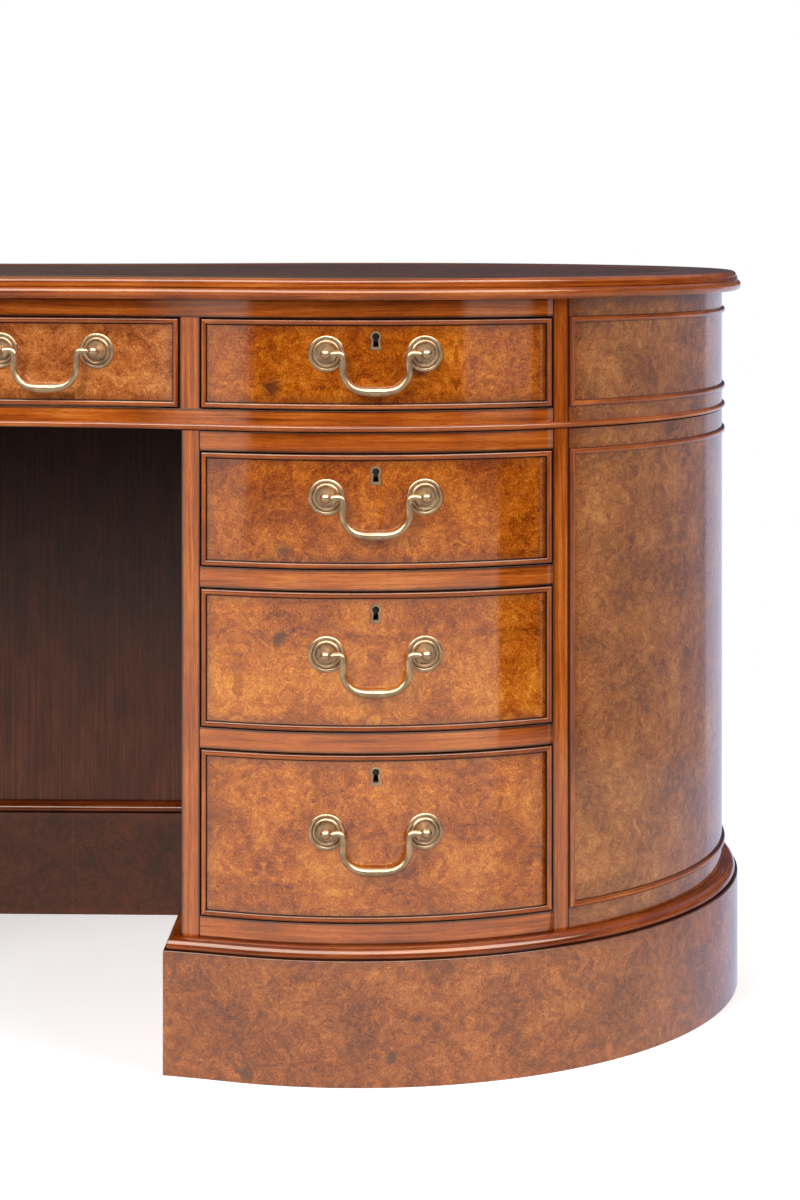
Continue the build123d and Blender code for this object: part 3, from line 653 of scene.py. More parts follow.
class Draft:
    """Points, faces and maps of a mesh that is being drawn up."""

    MAPS = ("grain", "rim_low", "rim_high")
    SHARP = math.radians(38)
    NO_RIMS = ((1.0, 1.0), (1.0, 1.0))
    MIRROR_SHIFT = 3.1

    def __init__(self) -> None:
        """Start an empty draft."""
        self.points: list[Place] = []
        self.faces: list[tuple[int, ...]] = []
        self.maps: dict[str, list[list[Pair]]] = {name: [] for name in self.MAPS}

    def add_face(self, corners: Sequence[int], grain: Outline, rims: Sequence[Rims] | None = None) -> None:
        """Add one face with its maps.

        Args:
            corners: Indices of its points.
            grain: Grain map at each corner, in metres.
            rims: Distances of each corner from the lower left and the upper right rim of a panel.
        """
        self.faces.append(tuple(corners))
        low, high = zip(*(rims or [self.NO_RIMS] * len(corners)))
        for name, values in zip(self.MAPS, (grain, low, high)):
            self.maps[name].append(list(values))

    def add_run(
        self,
        rings: Sequence[Sequence[Place]],
        along: Sequence[float],
        closed: bool = False,
        lift: float = 0.0,
        rims: Sequence[Sequence[Rims]] | None = None,
    ) -> "Draft":
        """Add a closed section carried along a run.

        Args:
            rings: Points of the section at each station.
            along: Length along the grain at each station.
            closed: The last station joins the first.
            lift: Value of the second grain axis at the first point of the section.
            rims: Rim distances of every point, for a panel.

        Returns:
            The draft.
        """
        base, size, stations = len(self.points), len(rings[0]), len(rings)
        for ring in rings:
            self.points.extend(ring)
        girth = [lift]
        for k in range(size):
            girth.append(girth[-1] + math.dist(rings[0][k], rings[0][(k + 1) % size]))
        for i in range(stations if closed else stations - 1):
            j = (i + 1) % stations
            ahead = along[j] if j else along[i] + math.dist(rings[i][0], rings[0][0])
            for k in range(size):
                m = (k + 1) % size
                spots = ((i, k), (j, k), (j, m), (i, m))
                corners = [base + station * size + point for station, point in spots]
                here, above = girth[k], girth[k + 1]
                grain = ((along[i], here), (ahead, here), (ahead, above), (along[i], above))
                self.add_face(corners, grain, rims and [rims[station][point] for station, point in spots])
        if not closed:
            for i in (0, stations - 1):
                corners = [base + i * size + k for k in range(size)]
                self.add_face(corners, [(along[i], girth[k]) for k in range(size)])
        return self

    def add_lathe(self, profile: Outline, sides: int) -> None:
        """Add a shape turned on the Z axis.

        Args:
            profile: Radius and height of each point, from the foot to the tip. A radius of zero is a pole.
            sides: Faces round the axis.
        """
        rows = []
        for radius, height in profile:
            row = [(radius * x, radius * y, height) for x, y in (circle(sides) if radius else [(0.0, 0.0)])]
            rows.append([len(self.points) + k for k in range(len(row))])
            self.points.extend(row)
        flat = [(0.0, 0.0)] * sides
        for lower, upper in zip(rows, rows[1:]):
            for k in range(sides):
                m = (k + 1) % sides
                ends = [row[n % len(row)] for row, n in ((lower, k), (lower, m), (upper, m), (upper, k))]
                corners = list(dict.fromkeys(ends))
                if len(corners) > 2:
                    self.add_face(corners, flat[: len(corners)])
        for row in (rows[0], rows[-1]):
            if len(row) > 1:
                self.add_face(row, flat)

    def mirrored(self) -> "Draft":
        """The same draft on the left-hand side, its figure moved on.

        Returns:
            The new draft.
        """
        other = Draft()
        other.points = [(-x, y, z) for x, y, z in self.points]
        other.faces = [tuple(reversed(corners)) for corners in self.faces]
        for name in self.MAPS:
            shift = self.MIRROR_SHIFT if name == "grain" else 0.0
            other.maps[name] = [[(u + shift, v) for u, v in reversed(row)] for row in self.maps[name]]
        return other

    def with_mirror_image(self) -> "Draft":
        """The draft and its mirror image on the desk's other half.

        Returns:
            The joined draft.
        """
        merged = Draft()
        for part in (self, self.mirrored()):
            base = len(merged.points)
            merged.points.extend(part.points)
            merged.faces.extend(tuple(base + k for k in corners) for corners in part.faces)
            for label in self.MAPS:
                merged.maps[label].extend(part.maps[label])
        return merged

    def to_object(self, name: str, material: Material) -> Object:
        """Make the object, with its faces outwards and its hard edges kept.

        Args:
            name: Name of the piece.
            material: Its finish.

        Returns:
            The object, linked to the scene.
        """
        mesh = bpy.data.meshes.new(name)
        mesh.from_pydata(self.points, [], self.faces)
        for label in self.MAPS:
            layer = mesh.uv_layers.new(name=label)
            values = [number for row in self.maps[label] for pair in row for number in pair]
            layer.data.foreach_set("uv", values)
        mesh.materials.append(material)
        return finished_object(name, mesh)


def finished_object(name: str, mesh: bpy.types.Mesh) -> Object:
    """Turn a mesh's faces outwards, keep its hard edges, weight its normals by area and link it.

    Args:
        name: Name of the piece.
        mesh: The mesh. It is replaced.

    Returns:
        The object.
    """
    work = bmesh.new()
    work.from_mesh(mesh)
    bmesh.ops.remove_doubles(work, verts=work.verts, dist=1e-6)
    bmesh.ops.recalc_face_normals(work, faces=work.faces)
    work.to_mesh(mesh)
    work.free()
    mesh.name = name
    for polygon in mesh.polygons:
        polygon.use_smooth = True
    mesh.set_sharp_from_angle(angle=Draft.SHARP)
    made = linked(name, mesh)
    weighted = made.modifiers.new("flat_faces", "WEIGHTED_NORMAL")
    weighted.mode = "FACE_AREA"
    weighted.keep_sharp = True
    shaded = evaluated_mesh(made)
    made.modifiers.remove(weighted)
    made.data = shaded
    shaded.name = name
    bpy.data.meshes.remove(mesh)
    return made


def joined_objects(name: str, *pieces: Object) -> Object:
    """One object from the meshes of several.

    Args:
        name: Name of the piece.
        *pieces: Objects at the origin. They are removed.

    Returns:
        The joined object.
    """
    work = bmesh.new()
    mesh = bpy.data.meshes.new(name)
    mesh.materials.append(pieces[0].data.materials[0])
    for piece in pieces:
        work.from_mesh(piece.data)
        bpy.data.objects.remove(piece)
    work.to_mesh(mesh)
    work.free()
    return finished_object(name, mesh)


def bored(piece: Object, cutter: Draft) -> Object:
    """Cut a piece and keep the result as a plain mesh.

    Args:
        piece: Piece that is cut. It is replaced.
        cutter: Draft of what is taken away.

    Returns:
        The cut piece.
    """
    name = piece.name
    tool = cutter.to_object(name + "_cutter", piece.data.materials[0])
    modifier = piece.modifiers.new("bore", "BOOLEAN")
    modifier.operation = "DIFFERENCE"
    modifier.solver = "EXACT"
    modifier.object = tool
    mesh = evaluated_mesh(piece)
    for used in (piece, tool):
        bpy.data.objects.remove(used)
    return finished_object(name, mesh)


def curve_object(name: str, points: Sequence[Place], closed: bool, twist: str = "Z_UP") -> Object:
    """Poly curve through points.

    Args:
        name: Name of the object.
        points: Its points.
        closed: Whether the curve is a loop.
        twist: How its normals turn along it.

    Returns:
        The object, linked to the scene.
    """
    curve = bpy.data.curves.new(name, "CURVE")
    curve.dimensions = "3D"
    curve.twist_mode = twist
    spline = curve.splines.new("POLY")
    spline.points.add(len(points) - 1)
    spline.points.foreach_set("co", [number for point in points for number in (*point, 1.0)])
    spline.use_cyclic_u = closed
    return linked(name, curve)


# ---- Geometry node trees


def start_growth(name: str, *inputs: tuple[str, str, Any]) -> tuple[Wiring, Any, Node]:
    """Start a geometry tree whose inputs are a geometry, the named ones and a finish."""
    every = [("Geometry", GEOMETRY, None), *inputs, ("Finish", MATERIAL, None)]
    return new_tree(name, "GeometryNodeTree", every, [("Geometry", GEOMETRY)])


def finish_tree(w: Wiring, out: Node, geometry: Socket, finish: Socket) -> Tree:
    """End a tree in Realize Instances and Set Material.

    Args:
        w: Wiring of the tree.
        out: Its output node.
        geometry: Socket of the geometry.
        finish: Socket of the material.

    Returns:
        The tree.
    """
    real = w.node("GeometryNodeRealizeInstances", {0: geometry})
    dressed = w.node("GeometryNodeSetMaterial", {"Geometry": real.outputs[0], "Material": finish})
    w.feed(out.inputs[0], dressed.outputs[0])
    return w.tree


def grown(name: str, base: Object, tree: Tree, values: dict[str, Any]) -> Object:
    """Run a geometry tree on an object and keep the result as a plain mesh.

    Args:
        name: Name of the piece.
        base: Object that the tree works on. It is removed afterwards.
        tree: The geometry tree.
        values: Value of each named input.

    Returns:
        The finished object.
    """
    modifier = base.modifiers.new("grow", "NODES")
    modifier.node_group = tree
    for item in tree.interface.items_tree:
        if item.item_type == "SOCKET" and item.in_out == "INPUT" and item.name in values:
            modifier[item.identifier] = values[item.name]
    mesh = evaluated_mesh(base)
    bpy.data.objects.remove(base)
    return finished_object(name, mesh)


class Growth:
    """Geometry trees of the desk: mouldings along the outline, bent rods and turned parts on their seats."""

    ROD_SIDES = 20

    def __init__(self) -> None:
        """Build each tree once."""
        self.moulding = self.build_moulding()
        self.rod = self.build_rod()
        self.seats = self.build_seats()

    @staticmethod
    def build_moulding() -> Tree:
        """Tree that carries a section along a path and keeps the length along it as the grain map.

        Returns:
            The tree.
        """
        w, given, out = start_growth("moulding_on_path", ("Section", OBJECT, None))
        section = w.node("GeometryNodeObjectInfo", {"Object": given["Section"]})
        kept = []
        for source in (given["Geometry"], section.outputs["Geometry"]):
            capture = w.node("GeometryNodeCaptureAttribute")
            capture.capture_items.new("FLOAT", "Run")
            w.put(capture, Geometry=source, Run=w.node("GeometryNodeSplineParameter").outputs["Length"])
            kept.append(capture.outputs)
        path, profile = kept
        fed = {"Curve": path["Geometry"], "Profile Curve": profile["Geometry"]}
        sweep = w.node("GeometryNodeCurveToMesh", fed)
        store = w.node("GeometryNodeStoreNamedAttribute", data_type="FLOAT2", domain="CORNER")
        lengths = w.joined(path["Run"], profile["Run"], 0.0)
        w.put(store, Geometry=sweep.outputs[0], Name="grain", Value=lengths)
        return finish_tree(w, out, store.outputs[0], given["Finish"])

    @staticmethod
    def build_rod() -> Tree:
        """Tree that gives a path a round section which swells towards its middle.

        Returns:
            The tree.
        """
        sizes = [("Rod Radius", FLOAT, 0.00275), ("Swell", FLOAT, 0.0009)]
        steps = [("Sides", "NodeSocketInt", 16), ("Step", FLOAT, 0.0016)]
        w, given, out = start_growth("swelling_rod", *sizes, *steps)
        fed = {"Curve": given["Geometry"], "Length": given["Step"]}
        even = w.node("GeometryNodeResampleCurve", fed, mode="LENGTH")
        share = w.node("GeometryNodeSplineParameter").outputs["Factor"]
        off_middle = w.math("ABSOLUTE", w.math("SUBTRACT", w.times(share, 2.0), 1.0))
        bulge = w.times(w.span(w.math("SUBTRACT", 1.0, off_middle), 0.62, 1.0), given["Swell"])
        radius = w.plus(given["Rod Radius"], bulge)
        sized = w.node("GeometryNodeSetCurveRadius", {"Curve": even.outputs[0], "Radius": radius})
        ring = w.node("GeometryNodeCurvePrimitiveCircle", {"Resolution": given["Sides"], "Radius": 1.0})
        fed = {"Curve": sized.outputs[0], "Profile Curve": ring.outputs[0], "Fill Caps": True}
        sweep = w.node("GeometryNodeCurveToMesh", fed)
        if "Scale" in sweep.inputs:
            w.put(sweep, Scale=radius)
        return finish_tree(w, out, sweep.outputs[0], given["Finish"])

    @staticmethod
    def build_seats() -> Tree:
        """Tree that stands a turned part on each seat, its axis along the seat's own direction.

        Returns:
            The tree.
        """
        w, given, out = start_growth("turned_parts_on_seats", ("Turned Part", OBJECT, None))
        part = w.node("GeometryNodeObjectInfo", {"Object": given["Turned Part"]})
        facing = w.node("GeometryNodeInputNamedAttribute", data_type="FLOAT_VECTOR")
        w.put(facing, Name="facing")
        aim = w.node("FunctionNodeAlignRotationToVector", {"Vector": facing.outputs["Attribute"]}, axis="Z")
        fed = {"Points": given["Geometry"], "Instance": part.outputs["Geometry"], "Rotation": aim.outputs[0]}
        stand = w.node("GeometryNodeInstanceOnPoints", fed)
        return finish_tree(w, out, stand.outputs[0], given["Finish"])

    def sweep(self, name: str, section: Outline, finish: Material) -> Object:
        """Carry a section round the desk's outline.

        Args:
            name: Name of the piece.
            section: Offset outwards and height of each point of the section.
            finish: Its material.

        Returns:
            The finished object.
        """
        base = curve_object(name + "_path", [(x, y, 0.0) for x, y in PLAN.loop(0.0)], True)
        shape = curve_object(name + "_section", [(offset, -height, 0.0) for offset, height in section], True)
        made = grown(name, base, self.moulding, {"Section": shape, "Finish": finish})
        bpy.data.objects.remove(shape)
        return made

    def bend_rod(self, name: str, path: Sequence[Place], sizes: Pair, finish: Material) -> Object:
        """Bend a round rod of a radius along a path, its middle thicker by a swell."""
        values = {"Rod Radius": sizes[0], "Swell": sizes[1], "Sides": self.ROD_SIDES, "Finish": finish}
        return grown(name, curve_object(name + "_path", path, False, "MINIMUM"), self.rod, values)

    def stand_on(self, name: str, part: Object, seats: Seats, finish: Material) -> Object:
        """Stand a turned part on each seat.

        Args:
            name: Name of the piece.
            part: The part, its axis on Z.
            seats: Place and outward direction of each seat.
            finish: Its material.

        Returns:
            The finished object.
        """
        mesh = bpy.data.meshes.new(name + "_seats")
        mesh.from_pydata([place for place, out in seats], [], [])
        facing = mesh.attributes.new("facing", "FLOAT_VECTOR", "POINT")
        facing.data.foreach_set("vector", [number for place, out in seats for number in out])
        return grown(name, linked(name + "_seats", mesh), self.seats, {"Turned Part": part, "Finish": finish})


# ---- Plan of the desk


@dataclass(frozen=True)
class DeskPlan:
    """Plan and levels of the carcass, in metres: two round ends joined by shallow hollows."""

    end_radius: float = 0.396
    end_centre_x: float = 0.468
    hollow_radius: float = 1.280
    kneehole_half: float = 0.305
    stile_width: float = 0.0185
    muntin_width: float = 0.0205
    opening_width: float = 0.3445
    rail_height: float = 0.0205
    top_rail_height: float = 0.018
    plinth_height: float = 0.1215
    pedestal_bottom: float = 0.1325
    pedestal_top: float = 0.6265
    frieze_top: float = 0.754
    modesty_y: float = 0.225
    hollow_step: float = math.radians(0.9)
    end_step: float = math.radians(2.2)
    pedestal_hollow_chords: int = 4
    kneehole_half_chords: int = 6

    @property
    def radii_sum(self) -> float:
        """Distance between the centres of an end and a hollow."""
        return self.end_radius + self.hollow_radius

    @property
    def hollow_centre_y(self) -> float:
        """Distance of a hollow's centre from the desk's middle."""
        return math.sqrt(self.radii_sum**2 - self.end_centre_x**2)

    @property
    def turn(self) -> float:
        """Half the angle of a hollow, in radians."""
        return math.asin(self.end_centre_x / self.radii_sum)

    @property
    def drawer_left(self) -> float:
        """Left edge of the pedestal drawer openings."""
        return self.kneehole_half + self.stile_width

    @property
    def drawer_right(self) -> float:
        """Right edge of the pedestal drawer openings."""
        return self.drawer_left + self.opening_width

    @property
    def drawer_middle(self) -> float:
        """Angle of a pedestal drawer's middle on the round end."""
        return math.asin(((self.drawer_left + self.drawer_right) / 2 - self.end_centre_x) / self.end_radius)

    @property
    def centre_half(self) -> float:
        """Half the width of the centre drawer's opening."""
        return self.drawer_left - self.muntin_width

    @property
    def stile_start(self) -> float:
        """Length round the end, from its foremost point, at which the end stile starts."""
        return math.asin((self.drawer_right - self.end_centre_x) / self.end_radius) * self.end_radius

    @property
    def stile_end(self) -> float:
        """Length round the end, from its foremost point, at which the end stile stops."""
        return self.stile_start + self.stile_width

    @property
    def panel_end(self) -> float:
        """Length round the end at which the back starts."""
        return math.pi * self.end_radius - self.stile_end

    @property
    def frieze_opening(self) -> Pair:
        """Lower and upper edge of the frieze drawer openings."""
        return (self.pedestal_top + self.rail_height, self.frieze_top - self.top_rail_height)

    def front_y(self, x: float, offset: float) -> float:
        """Place of the front along Y.

        Args:
            x: Place along the desk.
            offset: Distance outside the carcass.

        Returns:
            The place along Y.
        """
        tangent_x = self.end_centre_x * (1 - (self.end_radius + offset) / self.radii_sum)
        if abs(x) <= tangent_x:
            return math.sqrt((self.hollow_radius - offset) ** 2 - x * x) - self.hollow_centre_y
        reach = max((self.end_radius + offset) ** 2 - (abs(x) - self.end_centre_x) ** 2, 0.0)
        return -math.sqrt(reach)

    def on_front(self, along: float, height: float, offset: float) -> Place:
        """Place on the front, by its place along X."""
        return (along, self.front_y(along, offset), height)

    def on_back(self, along: float, height: float, offset: float) -> Place:
        """Place on the back, by its place along X."""
        return (along, -self.front_y(along, offset), height)

    def on_modesty(self, along: float, height: float, offset: float) -> Place:
        """Place on the kneehole panel's face, by its place along X."""
        return (along, self.modesty_y - offset, height)

    def on_end(self, along: float, height: float, offset: float) -> Place:
        """Place on the right-hand end, by the length round it from its foremost point."""
        angle, reach = along / self.end_radius, self.end_radius + offset
        return (self.end_centre_x + reach * math.sin(angle), -reach * math.cos(angle), height)

    def half_loop(self, offset: float, first_angle: float, hollow_step: float) -> list[Pair]:
        """Plan points from the front hollow round the right-hand end to the back hollow.

        Args:
            offset: Distance outside the carcass.
            first_angle: Angle on the front hollow at which the points start.
            hollow_step: Angle between points on the hollows.

        Returns:
            The points.
        """
        hollow = self.hollow_radius - offset
        angles = spread(first_angle, self.turn, hollow_step)
        front = [(hollow * math.sin(a), hollow * math.cos(a) - self.hollow_centre_y) for a in angles]
        end = self.end_radius + offset
        angles = spread(-self.turn, math.pi + self.turn, self.end_step)[1:-1]
        round_end = [(self.end_centre_x + end * math.sin(a), -end * math.cos(a)) for a in angles]
        return front + round_end + [(x, -y) for x, y in reversed(front)]

    def loop(self, offset: float) -> list[Pair]:
        """Closed plan outline at an offset, counter-clockwise from the middle of the front."""
        right = self.half_loop(offset, 0.0, self.hollow_step)
        return right[:-1] + [(-x, y) for x, y in reversed(right[1:])]

    def pedestal_loop(self, offset: float) -> list[Pair]:
        """Closed plan outline of the right-hand pedestal at an offset, its kneehole side too.

        Args:
            offset: Distance outside the carcass.

        Returns:
            The points.
        """
        corner_x = self.kneehole_half - offset
        first = math.asin(corner_x / (self.hollow_radius - offset))
        # The step is a hair over an even share, so that rounding never adds a chord.
        hollow_step = (self.turn - first) / self.pedestal_hollow_chords * 1.0001
        points = self.half_loop(offset, first, hollow_step)
        back = points[-1][1]
        side = spread(back, -back, abs(back) / self.kneehole_half_chords)
        return points + [(corner_x, y) for y in side[1:-1]]


PLAN = DeskPlan()


def board_section(depths: Pair, heights: Pair, ease: float = 0.0006) -> list[Pair]:
    """Section of a board as offsets and heights, its two front edges eased.

    Args:
        depths: Offsets of its back and of its face.
        heights: Lower and upper edge.
        ease: Radius of the eased edges.

    Returns:
        The points of the section, from the back of its lower edge.
    """
    (back, front), (low, high) = depths, heights
    lower = arc((front - ease, low + ease), ease, -90, 0, 3)
    upper = arc((front - ease, high - ease), ease, 0, 90, 3)
    return [(back, low)] + lower + upper + [(back, high)]


def add_bar(
    draft: Draft,
    on: OnSurface,
    lengths: Pair,
    section: Outline,
    step: float,
    figure: Pair,
    ends: bool = False,
) -> None:
    """Add a board that runs along a curved face.

    Args:
        draft: Draft to add to.
        on: Place on the face, by a length, a height and an offset.
        lengths: First and last length along the face.
        section: Offsets and heights of its section.
        step: Greatest length between stations.
        figure: Grain map's value at the start of the section.
        ends: Map the distances from its ends too.
    """
    (start, end), low, high = lengths, section[0][1], section[-1][1]
    stations = spread(start, end, step)
    rings = [[on(s, height, offset) for offset, height in section] for s in stations]
    rims = []
    for s in stations:
        left, right = (s - start, end - s) if ends else (1.0, 1.0)
        rims.append([((left, height - low), (right, high - height)) for offset, height in section])
    draft.add_run(rings, [figure[0] + s - start for s in stations], lift=figure[1], rims=rims)


def add_post(
    draft: Draft, on: OnSurface, lengths: Pair, heights: Pair, depths: Pair, grain_start: float
) -> None:
    """Add an upright board on a curved face.

    Args:
        draft: Draft to add to.
        on: Place on the face, by a length, a height and an offset.
        lengths: First and last length along the face.
        heights: Its foot and head.
        depths: Offsets of its back and of its face.
        grain_start: Grain map's value at the foot.
    """
    (left, right), (low, high), (back, front) = lengths, heights, depths
    ease = 0.0006
    face = [(s, front) for s in spread(left + ease, right - ease, 0.006)]
    section = [(left, back), (left, front - ease)] + face + [(right, front - ease), (right, back)]
    rings = [[on(s, height, offset) for s, offset in section] for height in heights]
    rims = [((s - left, 1.0), (right - s, 1.0)) for s, offset in section]
    draft.add_run(rings, [grain_start, grain_start + high - low], lift=left, rims=[rims] * 2)


def add_panel(draft: Draft, on: OnSurface, lengths: Pair, heights: Pair, depths: Pair, figure: Pair) -> None:
    """Add a veneered panel with the maps of its rim, its lower left corner at a place on the veneer."""
    start = (figure[0], figure[1] - (depths[1] - depths[0]))
    add_bar(draft, on, lengths, board_section(depths, heights, 0.0004), 0.007, start, ends=True)


@dataclass(frozen=True)
class NosedBead:
    """Bead section: a rounded nose over a flat back, as insets from the outer edge and offsets."""

    width: float
    back: float
    base: float
    nose: float
    chords: int = 10
    fullness: float = 0.8

    def section(self) -> list[Pair]:
        """Insets and offsets of its points, counter-clockwise.

        Returns:
            The points.
        """
        half = self.width / 2
        points = [(0.0, self.back)]
        for i in range(self.chords + 1):
            angle = math.pi * i / self.chords
            rise = (self.nose - self.base) * math.sin(angle) ** self.fullness
            points.append((half - half * math.cos(angle), self.base + rise))
        return points + [(self.width, self.back)]


def add_bead_frame(
    draft: Draft,
    on: OnSurface,
    lengths: Pair,
    heights: Pair,
    bead: NosedBead,
    step: float,
    grain_start: float,
) -> None:
    """Add four mitred beads round a panel.

    Args:
        draft: Draft to add to.
        on: Place on the face, by a length, a height and an offset.
        lengths: First and last length along the face of the frame's outer edge.
        heights: Its lower and upper height.
        bead: Section of the beads.
        step: Greatest length between stations.
        grain_start: Grain map's value at the start.
    """
    (left, right), (low, high) = lengths, heights
    wide, tall = right - left, high - low
    section = bead.section()
    # Rim distances are zero at the bead's feet, where its line of dark joint and painted gap shadow falls.
    rims = []
    for inset, offset in section:
        depth = max(0.0, bead.base - offset)
        rims.append(((max(inset, depth), 1.0), (max(bead.width - inset, depth), 1.0)))
    count = max(1, math.ceil(wide / step))
    shares = [i / count for i in range(count + 1)]
    for edge, inward, upright in ((high, -1, False), (low, 1, False), (left, 1, True), (right, -1, True)):
        start, extent, stops = (low, tall, (0.0, 1.0)) if upright else (left, wide, shares)
        rings = []
        for share in stops:
            ring = []
            for inset, out in section:
                spot = (start + inset + (extent - 2 * inset) * share, edge + inward * inset)
                ring.append(on(*(spot[::-1] if upright else spot), out))
            rings.append(ring)
        along = [grain_start + share * extent for share in stops]
        draft.add_run(rings, along, lift=edge, rims=[rims] * len(rings))


# ---- Carcass


@dataclass
class Shop:
    """What every sub-assembly needs: geometry trees and finishes by name."""

    growth: Growth
    finishes: dict[str, Material]

    def place(self, piece: Object, body: str, slot: str, *nodes: str) -> None:
        """Let a piece ride on a body and stand for CAD nodes.

        Args:
            piece: The finished piece.
            body: Body that it rides on.
            slot: Material slot of the record; not used.
            *nodes: CAD nodes that it stands for.
        """
        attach(piece, body)
        if nodes:
            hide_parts(*nodes)
        log.info("%s on %s, %d faces", piece.name, body, len(piece.data.polygons))

    def fit(
        self,
        draft: Draft,
        name: str,
        finish: str,
        slot: str,
        *nodes: str,
        body: str = "carcass",
        cuts: Iterable[Draft] = (),
    ) -> None:
        """Make a piece from a draft and place it.

        Args:
            draft: Draft of the piece.
            name: Its name.
            finish: Name of its finish.
            slot: Material slot of the record.
            *nodes: CAD nodes that it stands for.
            body: Body that it rides on.
            cuts: Drafts of what is cut away.
        """
        piece = draft.to_object(name, self.finishes[finish])
        for cutter in cuts:
            piece = bored(piece, cutter)
        self.place(piece, body, slot, *nodes)

    def keep(self, node: str, finish: str) -> None:
        """Give a CAD node that stays in view its finish.

        Args:
            node: Name of the node.
            finish: Name of the finish.
        """
        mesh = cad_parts[node].data
        mesh.materials.clear()
        mesh.materials.append(self.finishes[finish])
        log.info("%s keeps its CAD shape in %s", node, finish)


@dataclass
class WritingTop:
    """Moulded top: a crossbanded board in two steps, with a leather writing surface let in."""

    shop: Shop
    lower_projection: float = 0.0206
    upper_projection: float = 0.0166
    height: float = 0.021
    torus: float = 0.0058
    torus_top: float = 0.0114
    fillet_top: float = 0.0152
    quirk: float = 0.0007
    ovolo_width: float = 0.0058
    border: float = 0.052
    recess: float = 0.0012
    leather_gap: float = 0.0004
    grooves: Pair = (0.012, 0.016)
    groove_half: float = 0.0006
    groove_depth: float = 0.0003

    @property
    def top_z(self) -> float:
        """Height of the crossbanding's upper side."""
        return PLAN.frieze_top + self.height

    def edge_section(self) -> list[Pair]:
        """Offsets and heights of the moulded edge: a torus, a fillet and an ovolo, each behind a quirk.

        Returns:
            The points, counter-clockwise from the inner side of the crossbanding.
        """
        z0, step, inner = PLAN.frieze_top, self.upper_projection, -self.border
        torus = arc((self.lower_projection - self.torus, z0 + self.torus), self.torus, -90, 68, 10)
        fillet = [(step - self.quirk, self.torus_top + z0), (step + 0.0006, self.torus_top + z0 + self.quirk)]
        fillet += [(step, self.fillet_top + z0), (step - 0.0016, self.fillet_top + z0 + 0.0005)]
        width, height = self.ovolo_width, self.top_z - (z0 + self.fillet_top + 0.0010)
        left, low = step - 0.0012 - width, self.top_z - height
        ovolo = [(left + width * x, low + height * y) for x, y in arc((0.0, 0.0), 1.0, 0, 90, 9)]
        return [(inner, z0)] + torus + fillet + ovolo + [(inner, self.top_z)]

    def build(self) -> None:
        """Make the edge, the board under the leather and the leather."""
        finish = self.shop.finishes["walnut_moulding"]
        edge = self.shop.growth.sweep("top_moulded_edge", self.edge_section(), finish)
        self.shop.place(edge, "carcass", "walnut_top", "top_board")
        self.shop.fit(self.draft_bed(), "top_bed", "walnut_moulding", "walnut_top")
        self.shop.fit(self.draft_leather(), "leather_writing_surface", "leather", "walnut_top")

    def draft_bed(self) -> Draft:
        """Flat board under the leather, inside the crossbanding.

        Returns:
            The draft.
        """
        outline = PLAN.loop(-self.border)
        count = len(outline)
        levels = (PLAN.frieze_top + 0.0006, self.top_z - self.recess)
        draft = Draft()
        draft.points = [(x, y, z) for x, y in outline for z in levels]
        for i in range(count):
            j = (i + 1) % count
            here, there = outline[i][0], outline[j][0]
            grain = [(here, 0.0), (there, 0.0), (there, 0.02), (here, 0.02)]
            draft.add_face((2 * i, 2 * j, 2 * j + 1, 2 * i + 1), grain)
        for level in (0, 1):
            draft.add_face([2 * i + level for i in range(count)], outline)
        return draft

    def draft_leather(self) -> Draft:
        """Leather with a rounded rim and two tooled grooves.

        Returns:
            The draft.
        """
        surface, under = self.top_z - self.leather_gap, self.top_z - self.recess
        half, deep = self.groove_half, surface - self.groove_depth
        profile = [(self.leather_gap, under), (0.0006, deep), (0.0012, surface)]
        for groove in self.grooves:
            profile += [(groove - half, surface), (groove, deep), (groove + half, surface)]
        loops = [PLAN.loop(-self.border - inset) for inset, z in profile]
        count = len(loops[0])
        draft = Draft()
        for loop, (inset, z) in zip(loops, profile):
            draft.points.extend((x, y, z) for x, y in loop)
        for row, (outer, inner) in enumerate(zip(loops, loops[1:])):
            for i in range(count):
                j = (i + 1) % count
                corners = (row * count + i, row * count + j, (row + 1) * count + j, (row + 1) * count + i)
                draft.add_face(corners, [outer[i], outer[j], inner[j], inner[i]])
        last = (len(loops) - 1) * count
        draft.add_face(range(last, last + count), loops[-1])
        draft.add_face(range(count), loops[0])
        return draft


